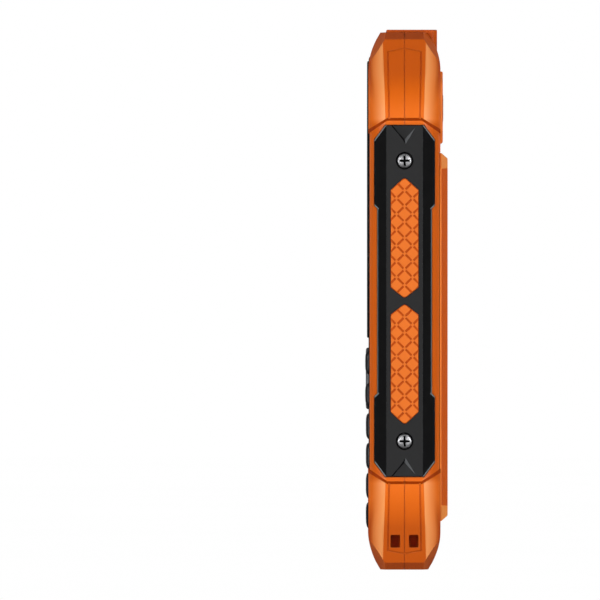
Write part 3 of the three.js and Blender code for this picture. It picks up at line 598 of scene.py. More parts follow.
glass_dark = polished("screen_glass", (14, 16, 19), 0.06)
glass_display = polished("display_glass", (24, 28, 36), 0.12)
lens_dark = polished("camera_glass", (10, 12, 20), 0.03)
lens_clear = polished("torch_glass", (235, 240, 242), 0.05, transmission=1.0, ior=1.58)
led_yellow = polished("led_phosphor", (238, 208, 80), 0.35)
board_green = moulded("board_green", (26, 92, 52), 0.35, grain=2.0, depth=0.02, mottle=0.12)
wrap_blue = moulded("battery_wrap", (40, 58, 84), 0.35, grain=1.2, depth=0.01, mottle=0.05,
                    wear=0.4, worn=(150, 160, 175))
label_pale = moulded("battery_label", (196, 198, 196), 0.45, mottle=0.04)

# ---- case shape
HALF_WIDTH, HALF_THICK, SEAM_GAP = shell.high.x, -shell.low.y, -shell.high.y
END_HALF_WIDTH, END_HALF_THICK = 14.5, 6.0
END_SLOPE, SHOULDER = 1.8, 18.8          # where an end's first slope stops, along and across
CORNER_RADIUS, CORNER_END = 17.0, 21.4   # the arc that follows, and where it meets the sides
CORNER_TILT = radians(39)
THIN_LENGTH = 9.5                        # the stretch over which an end gets thinner
BAND_AT_END, BAND = 5.4, 4.8             # half the depth of the flat band between the facets
FACET_FROM, FACET_TO, FACET_STEPS = radians(20), radians(75), 14
FRAME_HALF_WIDTH, FRAME_HALF_THICK, FRAME_REACH = 29.2, 8.7, 47
ARC_START = CORNER_END - CORNER_RADIUS * sin(CORNER_TILT)
ARC_HALF_WIDTH = HALF_WIDTH - CORNER_RADIUS * (1 - cos(CORNER_TILT))
SIN_SPAN = sin(FACET_TO) - sin(FACET_FROM)
COS_SPAN = cos(FACET_FROM) - cos(FACET_TO)


def between(value, a, b, at_a, at_b):
    return at_a + (at_b - at_a) * (value - a) / (b - a)


def spread(a, b, count):
    return [a + (b - a) * i / count for i in range(count + 1)]


def half_width_at(t):
    if t <= END_SLOPE:
        return between(t, 0, END_SLOPE, END_HALF_WIDTH, SHOULDER)
    if t <= ARC_START:
        return between(t, END_SLOPE, ARC_START, SHOULDER, ARC_HALF_WIDTH)
    angle = asin(max(0.0, CORNER_END - t) / CORNER_RADIUS)
    return HALF_WIDTH - CORNER_RADIUS * (1 - cos(angle))


def half_thick_at(t):
    left = max(0.0, 1 - t / THIN_LENGTH)
    return HALF_THICK - (HALF_THICK - END_HALF_THICK) * left * left


def band_at(t):
    return min(BAND_AT_END, max(BAND, between(t, END_SLOPE, CORNER_END, BAND_AT_END, BAND)))


def full_section(width, thick, band):
    """An outline across the handset; its first points run round one facet, from the side."""
    depth = (thick - band) * COS_SPAN / SIN_SPAN
    quarter = []
    for angle in spread(FACET_FROM, FACET_TO, FACET_STEPS):
        quarter.append((
            width - depth * (cos(FACET_FROM) - cos(angle)) / COS_SPAN,
            band + (thick - band) * (sin(angle) - sin(FACET_FROM)) / SIN_SPAN,
        ))
    half = quarter + [(-x, y) for x, y in reversed(quarter)]
    return half + [(-x, -y) for x, y in half]


def armour_section(t):
    return full_section(half_width_at(t), half_thick_at(t), band_at(t))


def armoured_body():
    ends = [0.0, *spread(END_SLOPE, THIN_LENGTH, 12), *spread(ARC_START, CORNER_END, 14)]
    stations = ends + [LENGTH - t for t in reversed(ends)]
    return loft([(armour_section(min(z, LENGTH - z)), z) for z in stations], "Z")


CUT_FACET = 2.6         # where an end cut starts, at the inner edge of a facet
CUT_BROAD = 7.2         # where it runs out on the broad face
CUT_FAR = (10.0, 1.3)   # another point of it on the broad face: across, and from the end


def corner_cuts():
    """Blocks that take off the ends between the facets and the broad faces."""
    start = Vector((half_width_at(CUT_FACET), band_at(CUT_FACET), CUT_FACET))
    end = Vector((*armour_section(CUT_BROAD)[FACET_STEPS], CUT_BROAD))
    far = Vector((CUT_FAR[0], half_thick_at(CUT_FAR[1]), CUT_FAR[1]))
    facing = (end - start).cross(far - start)
    facing = facing if facing.x > 0 else -facing
    turned = facing.to_track_quat("Z", "Y").to_matrix().to_4x4()
    place = Matrix.Translation((start + end + far) / 3)
    tool = transformed(block(-12, 12, -12, 12, 0, 8), place @ turned)
    return with_mirrors([tool], ("X", 0), ("Y", 0), ("Z", MIDDLE))


def surface_at(section, y):
    """How far out a section's surface is at a distance y from the seam."""
    quarter = section[:FACET_STEPS + 1]
    if y <= quarter[0][1]:
        return quarter[0][0]
    for (x0, y0), (x1, y1) in zip(quarter, quarter[1:]):
        if y <= y1:
            return between(y, y0, y1, x0, x1)
    return quarter[-1][0]


# The step from the armoured ends to the frame between them, measured from the handset's middle.
STEP_FLOOR, STEP_RIM = 45.0, 45.7
STEP_FLAT = 4.3                        # beyond this distance from the seam its walls lean
FLOOR_LEAN, RIM_LEAN = 0.68, 0.6
frame_section = full_section(FRAME_HALF_WIDTH, FRAME_HALF_THICK, BAND)


def middle_recess():
    """What the middle stretch takes off the armour, with its leaning end walls."""
    armour = armour_section(CORNER_END)
    ys = [0.0, STEP_FLAT, *spread(4.8, 9.0, 12), 11.0]
    across = [-y for y in ys[:0:-1]] + ys
    verts = []
    for level in range(4):
        low, high = [], []
        for y in across:
            beyond = max(0.0, abs(y) - STEP_FLAT)
            inner, outer = surface_at(frame_section, abs(y)), surface_at(armour, abs(y))
            depth = (inner - 6, inner, outer, HALF_WIDTH + 4)[level]
            reach = STEP_FLOOR - beyond * FLOOR_LEAN if level < 2 else STEP_RIM - beyond * RIM_LEAN
            low.append((depth, y, MIDDLE - reach))
            high.append((depth, y, MIDDLE + reach))
        verts += low + high[::-1]
    half = len(across)
    count = 2 * half
    faces = []
    for start in (0, 3 * count):  # the inner and outer faces, as strips of quads
        end = start + count - 1
        faces += [[start + i, start + i + 1, end - 1 - i, end - i] for i in range(half - 1)]
    for start in range(0, 3 * count, count):
        faces += band(start, start + count, count)
    return both(solid(verts, faces), "X")


def ring(outer, inner, low, high, axis="Y"):
    """A slab between two outlines."""
    return cut(slab(outer, low, high, axis), slab(inner, low - 1, high + 1, axis))


# The grooved pentagons on the sides of the armoured ends, measured from the handset's middle.
GROOVE, GROOVE_DEPTH = 0.4, 0.27
PENTAGON_FOOT, PENTAGON_SHOULDER, PENTAGON_TIP = (3.82, 43.5), (4.15, 62.3), 63.1


def pentagon_grooves(armour):
    def loop(grow):
        foot = (PENTAGON_FOOT[0] + grow, PENTAGON_FOOT[1])
        shoulder = (PENTAGON_SHOULDER[0] + grow, PENTAGON_SHOULDER[1] + grow / 2)
        return [foot, shoulder, (0.0, PENTAGON_TIP + grow), (-shoulder[0], shoulder[1]), (-foot[0], foot[1])]

    line = ring(loop(GROOVE / 2), loop(-GROOVE / 2), END_HALF_WIDTH, HALF_WIDTH + 1, "X")
    line = both(shift(line, z=MIDDLE), "Z", MIDDLE)
    line = cut(line, shift(copy(armour), x=-GROOVE_DEPTH))
    return both(line, "X")


# A side panel, measured from the handset's middle: its corners, and its waist between two hips.
panel = Box("side_panel_right")
PANEL_HALF, PANEL_END = panel.high.y, panel.high.z - MIDDLE
PANEL_END_HALF, PANEL_CORNER = 4.8, 3.6
HIP_Z, WAIST_Z, WAIST_IN = 23.8, 23.05, 0.75
WAIST_HALF = PANEL_HALF - WAIST_IN


def panel_outline(grow=0.0, radius=0.0):
    top = [(WAIST_HALF + grow, WAIST_Z), (PANEL_HALF + grow, HIP_Z),
           (PANEL_HALF + grow, PANEL_END - PANEL_CORNER + grow / 2),
           (PANEL_END_HALF + grow / 2, PANEL_END + grow)]
    right = [(u, -v) for u, v in reversed(top)] + top
    points = [(u, v + MIDDLE) for u, v in mirrored(right)]
    return soften(points, radius, 3) if radius else points


CAVITY_HALF, CAVITY_END_HALF, CAVITY_CORNER, CAVITY_DEPTH = 25, 21.6, 4, 6.3
END_WALL = 10


def cavity_outline(grow=0.0):
    return plate_outline(CAVITY_HALF, CAVITY_END_HALF, END_WALL, LENGTH - END_WALL, CAVITY_CORNER, grow=grow)


torch, flap, cover = Box("torch_head"), Box("port_cover"), Box("battery_cover")
HINGE_Y = next(j for j in frame["joints"] if j["name"] == "port_flap_hinge")["pos_m"][1] / MM
STRAP_Z, STRAP_Y, STRAP_HALF = 7.2, 2.3, 1.6


def end_hollow():
    return both(block(-16, 16, -4.4, 4.4, 2.5, 11), "Z", MIDDLE)


def end_openings():
    """The torch's seat, the flap's seat and the opening for the sockets."""
    return [
        block(*torch.seen("Z", 0.15), torch.low.z - 0.2, LENGTH + PAST),
        block(flap.low.x - 0.3, flap.high.x + 0.3, flap.low.y - 0.25, HINGE_Y + 0.15, -1, 1.5, radius=0.9),
        block(-12.8, 12.8, -3.65, 3.65, 0, 3.5, radius=0.6),
    ]


def strap_channel():
    """Two holes in the right-hand side that meet inside."""
    low, high = STRAP_Z - STRAP_HALF, STRAP_Z + STRAP_HALF
    holes = [block(y - 1.2, y + 1.2, low, high, 18, HALF_WIDTH, "X", 0.35, 3) for y in (-STRAP_Y, STRAP_Y)]
    return join(*holes, block(18, 20.5, -STRAP_Y, STRAP_Y, low, high))


SEAM_DEPTH = 0.2


def seam_groove():
    """The line between the two shells, as a shallow groove all the way round."""
    ends = [0.0, *spread(END_SLOPE, CORNER_END, 16)]
    right = [(half_width_at(t) - SEAM_DEPTH, max(t, SEAM_DEPTH)) for t in ends]
    foot = MIDDLE - STEP_RIM + SEAM_DEPTH
    right += [(HALF_WIDTH - SEAM_DEPTH, foot), (FRAME_HALF_WIDTH - SEAM_DEPTH, foot)]
    right += [(u, LENGTH - v) for u, v in reversed(right)]
    layer = block(-PAST, PAST, -SEAM_GAP, SEAM_GAP, -PAST, LENGTH + PAST)
    return cut(layer, slab(mirrored(right), -1, 1, "Y"))


def whole_case():
    armour = armoured_body()
    grooves = pentagon_grooves(armour)
    body = cut(armour, middle_recess(), grooves, *corner_cuts())
    body = join(body, loft([(frame_section, MIDDLE + end) for end in (-FRAME_REACH, FRAME_REACH)], "Z"))
    pocket = slab(panel_outline(0.15), panel.low.x - 0.1, HALF_WIDTH + 3, "X")
    cavity = slab(cavity_outline(), -CAVITY_DEPTH, CAVITY_DEPTH, "Y")
    return cut(body, cavity, end_hollow(), *with_mirrors([pocket], ("X", 0)),
               strap_channel(), seam_groove(), *end_openings())


def seam_ring(inner, outer, low, high):
    return ring(cavity_outline(outer), cavity_outline(inner), low, high)


SCREW_Z = [Box(name).z for name in frame["nodes"] if name.startswith("side_screw_right")]
coin = Box("cover_screw_right")
front = Box("front_fascia")
battery, seal, upper = Box("battery_pack"), Box("cover_seal"), Box("rear_upper_plate")
camera_lens, speaker = Box("camera_lens"), Box("loudspeaker")
CAMERA = (camera_lens.x, 0, camera_lens.z)
BAY_GAP = 0.4
BAY_LOW = battery.low.z - BAY_GAP
WELL_FLOOR = -5.3   # how far the openings behind the keys and the screen go


def at_side_screws(radius, low, high):
    ends = ((low, high), (-high, -low))
    return [rod(radius, *pair, "X", (0, 0, z)) for z in SCREW_Z for pair in ends]


def at_cover_screws(radius, low, high):
    return [rod(radius, low, high, "Y", (x, 0, coin.z)) for x in (coin.x, -coin.x)]


def fascia_outline(grow=0.0):
    return plate_outline(front.high.x, 16.8, front.low.z, front.high.z, 7.9, 9.7, grow)


def cover_outline(grow=0.0):
    return plate_outline(cover.high.x, cover.high.x - 5, cover.low.z, cover.high.z, 3.9, grow=grow)


def upper_plate_outline(grow=0.0):
    return plate_outline(upper.high.x, upper.high.x - 4, upper.low.z, upper.high.z, 3, grow=grow)


def seal_ring(grow, low, high):
    return ring(rectangle(*seal.seen("Y", grow), 1.2), rectangle(*seal.seen("Y", -1 - grow), 0.8), low, high)


def front_shell(case):
    half = keep(case, block(-PAST, PAST, -PAST, 0, -PAST, LENGTH + PAST))
    seat = slab(fascia_outline(0.12), -PAST, front.high.y + 0.1, "Y")
    key_well = slab([(-17, 9.5), (17, 9.5), (23.3, 15.8), (23.3, 57), (-23.3, 57), (-23.3, 15.8)],
                    -PAST, WELL_FLOOR, "Y")  # its lower corners follow the fascia
    screen_well = slab(plate_outline(22, 18.6, 59, 124, 4), -PAST, WELL_FLOOR, "Y")
    rebate = seam_ring(-0.9, 1.0, -1.2, 1)
    return cut(half, rebate, seat, key_well, screen_well, *at_side_screws(2.8, 23, panel.low.x))


def rear_shell(case):
    half = keep(case, block(-PAST, PAST, 0, PAST, -PAST, LENGTH + PAST))
    tongue = cut(seam_ring(0.1, 0.8, -1, 1), end_hollow(), *end_openings())
    tub = block(*battery.seen("Y", BAY_GAP + 1.1), 0.2, 8.5, "Y", 1.5)
    bay = block(*battery.seen("Y", BAY_GAP), 1, PAST, "Y", 1.2)
    window = block(-14, 14, 60, 78, -1, 2, "Y", 0.6)
    contacts = block(-5, 5, 2.5, 5.5, BAY_LOW - 2.1, BAY_LOW + 1)
    seat = slab(cover_outline(0.2), cover.low.y - 0.1, PAST, "Y")
    groove = seal_ring(0.15, seal.low.y - 0.1, PAST)
    plate_seat = slab(upper_plate_outline(0.12), upper.low.y - 0.1, PAST, "Y")
    lens_hole = rod(3.2, 5, 10, "Y", CAMERA)
    speaker_hole = block(speaker.x - 5, speaker.x + 5, 5, 10, speaker.z - 4, speaker.z + 4)
    bosses = [*at_side_screws(2.5, 23.2, panel.low.x - 0.15), *at_cover_screws(3, 3.5, 8.5)]
    bores = [*at_side_screws(1.05, 22, panel.low.x + 1), *at_cover_screws(1.4, 3, 10)]
    return cut(join(half, tongue, tub, *bosses), bay, window, contacts, seat, groove, plate_seat,
               lens_hole, speaker_hole, *bores)


case = whole_case()
piece(front_shell(copy(case)), "front_shell", orange, "front_housing")
piece(rear_shell(case), "rear_shell", orange, "rear_housing")

# ---- side panels, grips and screws
PANEL_FACE, PANEL_BAND, PANEL_DROP = panel.high.x, 4.5, 2.0
PANEL_RUN = PANEL_HALF - PANEL_BAND
# The panel's black, the painted shade of its slopes, the painted highlight of its chamfers, the painted
# shade of its recesses and the painted highlight of its chevrons' lit walls.
PANEL_FINISHES_AND_PAINTED_LIGHT = [panel_black, panel_slope, panel_edge_highlight, recess_shade, panel_lit]
GRIP_SEAT = Box("grip_right_upper").low.x - 0.1
SCREW_SEAT = PANEL_FACE - 1.25
SINK = 2.08            # radius of the recess round a side screw
GRIP_SHOULDER = 2.45   # from the end near the middle to the start of the straight sides
GRIP_FAR_SHOULDER = 2.9
TIP_RADIUS, SHOULDER_RADIUS = 1.0, 0.35
TIP_LOSS = 0.29        # what the rounding takes off a tip


def grip_outline(box, grow=0.0):
    """A hexagon with a rounded tip at each end; the far end is the more slender."""
    half = (box.high.y - box.low.y) / 2 + grow
    ends = (GRIP_SHOULDER, GRIP_FAR_SHOULDER)
    bottom, top = ends if box.low.z > MIDDLE else ends[::-1]
    foot, shoulder = box.low.z + bottom, box.high.z - top
    points = [(0.0, box.low.z - TIP_LOSS - grow), (half, foot), (half, shoulder),
              (0.0, box.high.z + TIP_LOSS + grow), (-half, shoulder), (-half, foot)]
    return soften(points, [TIP_RADIUS, SHOULDER_RADIUS, SHOULDER_RADIUS] * 2, 5)


def edge_chamfer(start, end, outwards, width=0.3, beyond=0.3):
    """A three-sided bar that takes off the edge between a panel's slope and its rim wall."""
    a, b = [Vector((PANEL_FACE - (abs(y) - PANEL_BAND) * PANEL_DROP / PANEL_RUN, y, z))
            for y, z in (start, end)]
    along = (b - a).normalized()
    wall = Vector((0, *outwards)).normalized()
    slope = Vector((PANEL_RUN, copysign(PANEL_DROP, start[0]), 0)).normalized()
    inwards, down = along.cross(slope), along.cross(wall)
    inwards = inwards if inwards.dot(wall) < 0 else -inwards
    down = down if down.x < 0 else -down
    corner = (wall + slope).normalized()
    points = []
    for p in (a - along * beyond, b + along * beyond):
        points += [p + inwards * width, p + corner, p + down * width]
    return solid(points, [[0, 1, 2], [3, 4, 5], [0, 1, 4, 3], [1, 2, 5, 4], [2, 0, 3, 5]])


def corner_chamfers():
    made = []
    for start, end, outwards in (
            ((PANEL_END_HALF, PANEL_END), (PANEL_HALF, PANEL_END - PANEL_CORNER), (0.8, 0.6)),
            ((PANEL_HALF, HIP_Z), (WAIST_HALF, WAIST_Z), (0.707, -0.707))):
        for across in (1, -1):
            for up in (1, -1):
                ends = [(y * across, MIDDLE + z * up) for y, z in (start, end)]
                made.append(edge_chamfer(*ends, (outwards[0] * across, outwards[1] * up)))
    for across in (1, -1):
        waist = [(WAIST_HALF * across, MIDDLE + z) for z in (-WAIST_Z, WAIST_Z)]
        made.append(edge_chamfer(*waist, (across, 0), 0.17, -0.15))
    return made


VEE_Z = MIDDLE + 40.3      # height of the upper chevron's point
VEE_HALF, VEE_RISE = 4.6, 5.2
VEE_DEPTH, VEE_TILT = 0.62, 12.0
LINE_START, LINE_END = Vector((-0.15, -0.1)), Vector((-4.4, 4.95))


def chevron():
    """A tilted triangle sunk at its point, with one arm carried on as a narrow groove."""
    floor_points = [(0, 0), (VEE_HALF, VEE_RISE), (-VEE_HALF, VEE_RISE)]
    brim = [(0.85, -3.4), (VEE_HALF + 4.24, VEE_RISE), (-VEE_HALF - 2.55, VEE_RISE)]
    vee = turn(loft([(floor_points, 0), (brim, 3)], "X"), VEE_TILT, "Y")
    along = (LINE_END - LINE_START).normalized()
    across = Vector((along.y, -along.x))

    def outline(half):
        return [tuple(p) for p in (LINE_START - across * half, LINE_END - across * half,
                                   LINE_END + across * half, LINE_START + across * half)]

    line = loft([(outline(0.08), PANEL_FACE - 0.3), (outline(0.18), PANEL_FACE + 0.1)], "X")
    return [shift(vee, PANEL_FACE - VEE_DEPTH, 0, VEE_Z), shift(line, z=VEE_Z)]


def on_chevron_line(point):
    offset = Vector((point.y, abs(point.z - MIDDLE) + MIDDLE - VEE_Z)) - LINE_START
    along = LINE_END - LINE_START
    share = offset.dot(along) / along.length_squared
    return 0 <= share <= 1 and (offset - along * share).length < 0.25 and point.x < PANEL_FACE - 0.02


def panel_finish_and_painted_light(facing, at):
    """The material of a face of a side panel, from its normal and its middle: painted shade in the screw
    recesses and on the chevron's dark wall and line, a painted highlight on the chevron's lit wall and on
    the corner and waist chamfers, darker painted shade on the slopes, and plain black elsewhere.
    """
    across, along = abs(facing.y), abs(facing.z)
    in_vee = along > 0.2 and across > 0.2 and at.x > PANEL_FACE - VEE_DEPTH
    in_sink = (min(hypot(at.y, at.z - z) for z in SCREW_Z) < SINK + 0.1
               and SCREW_SEAT - 0.1 < at.x < PANEL_FACE - 0.01)
    corner = across > 0.2 and along > 0.25 and 0.3 < facing.x < 0.9 and abs(at.y) > 5
    waist = 0.76 < across < 0.97 and along < 0.05 and facing.x > 0.2
    slope = 0.35 < across < 0.75 and along < 0.05 and at.x > PANEL_FACE - PANEL_DROP - 0.1
    if in_sink or (in_vee and facing.y > 0 and facing.x < 0.75) or on_chevron_line(at):
        return recess_shade
    if in_vee and facing.y < 0 and 0.5 < facing.x < 0.9:
        return panel_lit
    if corner or waist:
        return panel_edge_highlight
    return panel_slope if slope else panel_black


def side_panel():
    blank = slab(panel_outline(0, 0.35), panel.low.x, PANEL_FACE, "X", 0, 0.18)
    slope = slab([(PANEL_FACE - 0.02, PANEL_BAND), (PANEL_FACE - PANEL_DROP, PANEL_BAND + PANEL_RUN),
                  (PANEL_FACE - PANEL_DROP, PANEL_HALF + 2), (PANEL_FACE + 2, PANEL_HALF + 2),
                  (PANEL_FACE + 2, PANEL_BAND)], MIDDLE - 50, MIDDLE + 50, "Z")
    seats = [slab(grip_outline(Box("grip_right_" + level), 0.1), GRIP_SEAT, PANEL_FACE + 1, "X")
             for level in ("upper", "lower")]
    sinks = [lathe([(0, SCREW_SEAT - 0.05), (SINK, SCREW_SEAT - 0.05), (SINK, PANEL_FACE - 0.1),
                    (SINK + 0.12, PANEL_FACE), (SINK + 0.12, PANEL_FACE + 1), (0, PANEL_FACE + 1)],
                   "X", (0, 0, z)) for z in SCREW_Z]
    shanks = [rod(1.15, panel.low.x - 1, PANEL_FACE, "X", (0, 0, z), 24) for z in SCREW_Z]
    made = cut(blank, *with_mirrors([slope], ("Y", 0)), *with_mirrors(chevron(), ("Z", MIDDLE)),
               *seats, *sinks, *shanks)
    made = cut(made, *corner_chamfers())
    # Each face takes the panel's black, its painted shade or its painted highlight.
    for polygon in made.data.polygons:
        polygon.material_index = PANEL_FINISHES_AND_PAINTED_LIGHT.index(panel_finish_and_painted_light(polygon.normal, polygon.center))
    return made


LATTICE_U, LATTICE_V = 2.0, 1.97   # half the width and half the height of a diamond
DASH = 0.72                        # share of each side of a diamond that is grooved
DASH_HALF_WIDTH = 0.24
DASH_DEPTH = 0.28


def grip_pad(box, first):
    """A grip with its diamond grooves; `first` is the height of the outermost node on the centre line."""
    face = box.high.x
    pad = slab(grip_outline(box), box.low.x, face, "X", 0, 0.3)
    reach = Vector((LATTICE_U, LATTICE_V)).length * DASH / 2
    tools = []
    sign = -1 if first > box.z else 1
    for row in range(-3, int((box.high.z - box.low.z) / LATTICE_V) + 3):
        v = first + sign * (row + 0.5) * LATTICE_V
        if not box.low.z + 1.0 < v < box.high.z - 1.0:
            continue
        for column in (-2, -1, 0, 1):
            middle = Vector(((column + 0.5) * LATTICE_U, v))
            lean = -1 if (row + column) % 2 else 1
            along = Vector((LATTICE_U, lean * sign * LATTICE_V)).normalized()
            across = Vector((-along.y, along.x)) * DASH_HALF_WIDTH
            a, b = middle - along * reach, middle + along * reach
            dash = soften([tuple(p) for p in (a - across, b - across, b + across, a + across)], 0.1, 3)
            tools.append(loft([(dash, face - DASH_DEPTH), (inset(dash, -0.05), face + 0.3)], "X"))
    pad = cut(pad, *tools)
    # The groove faces take the darker orange as painted shade.
    for polygon in pad.data.polygons:
        shallow = all(pad.data.vertices[i].co.x > face - DASH_DEPTH - 0.005 for i in polygon.vertices)
        edge = abs(polygon.center.y) > box.high.y - 0.31
        polygon.material_index = int(shallow and not edge and polygon.center.x < face - 0.02)
    return pad


def side_screw(z):
    head = lathe([(0, -4.4), (0.7, -4.4), (1, -4.0), (1, 0), (1.9, 0), (1.9, 0.5), (1.84, 0.68),
                  (1.66, 0.86), (1.3, 1.0), (0.8, 1.09), (0, 1.13)], "X", segments=56)
    arm = loft([(rectangle(-1.05, 1.05, -0.24, 0.24), 0.35), (rectangle(-1.7, 1.7, -0.32, 0.32), 2)], "X")
    screw = cut(head, join(arm, turn(copy(arm), 90, "X")))
    # The cross slot's walls and floor take the near-black painted shade.
    for polygon in screw.data.polygons:
        at = polygon.center
        in_cross = at.x > 0.3 and hypot(at.y, at.z) < 1.42
        polygon.material_index = int(in_cross and (abs(polygon.normal.x) < 0.45 or at.x < 0.5))
    return shift(screw, SCREW_SEAT, 0, z)


LATTICE_TOP = MIDDLE + 27.6   # the outermost node of the upper grip's lattice
for side in ("right", "left"):
    def on_side(obj):
        return obj if side == "right" else mirror(obj, "X")

    fine(f"side_panel_{side}", on_side(side_panel()), PANEL_FINISHES_AND_PAINTED_LIGHT)
    for level in ("upper", "lower"):
        first = LATTICE_TOP if level == "upper" else 2 * MIDDLE - LATTICE_TOP
        pad = grip_pad(Box(f"grip_right_{level}"), first)
        fine(f"grip_{side}_{level}", on_side(pad), [orange_grip, groove_shade_orange])
        screw = side_screw(Box(f"side_screw_right_{level}").z)
        fine(f"side_screw_{side}_{level}", on_side(screw), [steel, recess_shade])

# ---- front face
screen, ear = Box("screen_lens"), Box("earpiece")
keys = {name: Box(name) for name in frame["nodes"] if name.startswith("key_") and name != "key_board"}
FLANGE = 0.45
LENS_PROUD = 0.1
LETTER_HEIGHT, LETTER_DEPTH = 4.4, 0.02
PRINT_PROUD, PRINT_SUNK = 0.012, 0.03
LEGENDS = {"key_star": "*", "key_hash": "#"}


def ear_slot(grow):
    return block(-5 - grow, 5 + grow, ear.z - 0.6 - grow, ear.z + 0.6 + grow, -PAST, 0, "Y", 0.6)


def lens_outline(grow=0.0, radius=0.0):
    side, top = screen.high.x + grow, screen.high.z
    points = mirrored([(side, screen.low.z - grow), (side, top - 9.2), (15.8, top + grow)])
    return soften(points, radius, 4) if radius else points


def key_outline(name, grow=0.0):
    x0, x1, z0, z1 = keys[name].seen("Y", -FLANGE)
    if name in ("key_star", "key_hash"):
        digit = keys["key_3"]
        outer = digit.x + (digit.high.x - digit.low.x) / 2 - FLANGE
        inner, bend = 2 * digit.x - outer, digit.x + 1.3
        points = [(inner, z0), (bend, z0), (outer, z0 + outer - digit.x - 1.3), (outer, z1), (inner, z1)]
        if name == "key_star":
            points = [(-u, v) for u, v in points]
        points = soften(points, 1.4, 5)
    else:
        corner = {"key_navigation": (5.4, 10), "key_ok": (2.6, 10)}.get(name, (1.4, 5))
        points = rectangle(x0, x1, z0, z1, *corner)
    return inset(points, -grow) if grow else points


def shrunk(points, distance):
    """An outline scaled about its middle so that its four sides move in by a distance."""
    us, vs = zip(*points)
    half_u, half_v = (max(us) - min(us)) / 2, (max(vs) - min(vs)) / 2
    mid_u, mid_v = (max(us) + min(us)) / 2, (max(vs) + min(vs)) / 2
    return [(mid_u + (u - mid_u) * (1 - distance / half_u), mid_v + (v - mid_v) * (1 - distance / half_v))
            for u, v in points]


def key_cap(name):
    """A crowned cap with a flange behind it."""
    face, back = keys[name].low.y, keys[name].high.y
    points = key_outline(name)
    levels = [(-FLANGE, back), (-FLANGE, back - 0.5), (0, back - 0.5 - 0.02), (0, face + 0.62)]
    levels += [(0.62 * (1 - cos(a)) + 0.25 * sin(a), face + 0.62 - 0.5 * sin(a))
               for a in (0.35, 0.7, 1.05, 1.3, 1.5708)]
    levels += [(1.3, face + 0.05), (1.9, face + 0.015), (2.4, face)]
    return loft([(shrunk(points, d), w) for d, w in levels], "Y")


def navigation_ring():
    face, back = keys["key_navigation"].low.y, keys["key_navigation"].high.y
    outer = key_outline("key_navigation")
    inner = rectangle(*keys["key_ok"].seen("Y", 0.3 - FLANGE), 2.8, 10)

    def blend(share):
        return [(a[0] + (b[0] - a[0]) * share, a[1] + (b[1] - a[1]) * share) for a, b in zip(outer, inner)]

    return loft([
        (inset(outer, -FLANGE), back), (inset(outer, -FLANGE), back - 0.5), (outer, back - 0.5 - 0.02),
        (outer, face + 0.5), (inset(outer, 0.1), face + 0.22), (inset(outer, 0.4), face + 0.06),
        (blend(0.28), face), (blend(0.6), face + 0.14), (inset(inner, -0.5), face + 0.3),
        (inset(inner, -0.12), face + 0.5), (inner, face + 0.8),
        (inner, -7.9), (inset(inner, -FLANGE), -7.88), (inset(inner, -FLANGE), back),
    ], "Y", closed=True)


def fascia():
    blank = slab(soften(fascia_outline(), 1.0, 4), front.low.y, front.high.y, "Y", 0.25, 0)
    lens_seat = slab(lens_outline(0.1), -PAST, screen.high.y + 0.05, "Y")
    window = block(-19.5, 19.5, 66, 117, -PAST, 0, "Y")
    holes = [slab(key_outline(name, 0.2), -PAST, 0, "Y") for name in keys if name != "key_ok"]
    return cut(blank, lens_seat, window, ear_slot(0.2), *holes)


def character(letter, x, y, z):
    """A plain character standing a hair proud of a face that looks along -Y."""
    curve = bpy.data.curves.new("legend", "FONT")
    curve.body, curve.size, curve.extrude = letter, LETTER_HEIGHT, LETTER_DEPTH / 2
    curve.align_x = curve.align_y = "CENTER"
    source = bpy.data.objects.new("legend", curve)
    workshop.objects.link(source)
    made = in_workshop(evaluated(source))
    bpy.data.objects.remove(source)
    return shift(turn(made, 90, "X"), x, y, z)


def handset_icon(x, z, sign, printed):
    """A receiver: an arc with an ear at each end, upright or upside down."""
    arc = [(cos(a) * 1.9, sin(a) * 1.9) for a in map(radians, range(40, 141, 10))]
    arc += [(u * 0.62, v * 0.62) for u, v in reversed(arc)]
    icon = slab([(x + u, z + sign * (v - 1.4)) for u, v in arc], *printed)
    ends = []
    for s in (-1, 1):
        u, v = x + s * 1.32, z + sign * -0.75
        ends.append(block(u - 0.5, u + 0.5, v - 0.42, v + 0.42, *printed, 0.2, 3))
    return join(icon, *ends)


def arrows(z, face):
    """An arrowhead on each side of the navigation ring."""
    marks = []
    for u, v in ((0, 5.6), (0, -5.6), (7.3, 0), (-7.3, 0)):
        tip = 0.75 if u + v > 0 else -0.75
        points = [(-0.75, 0), (0.75, 0), (0, tip)] if u == 0 else [(0, -0.75), (0, 0.75), (tip, 0)]
        marks.append(slab([(u + a, z + v + b) for a, b in points], face - PRINT_PROUD, face + 0.12, "Y"))
    return join(*marks)


fine("front_fascia", fascia(), fascia_black)
lens_front = screen.low.y - LENS_PROUD
lens = cut(slab(lens_outline(0, 0.8), lens_front, screen.high.y, "Y", 0.2, 0), ear_slot(0))
fine("screen_lens", lens, glass_dark)
display = block(-18.9, 18.9, 67, 116, lens_front - PRINT_PROUD, screen.low.y, "Y", 0.4)
piece(display, "display_window", glass_display, "screen_lens", replaces=False)
bars = [block(x - 0.14, x + 0.14, ear.low.y - 1.2, ear.low.y - 0.5, ear.z - 0.7, ear.z + 0.7)
        for x in [-4.4 + 0.55 * k for k in range(17)]]
grille = join(block(-5.1, 5.1, ear.low.y - 0.6, ear.low.y - 0.35, ear.z - 0.7, ear.z + 0.7), *bars)
piece(grille, "earpiece_grille", nickel, "earpiece", replaces=False)

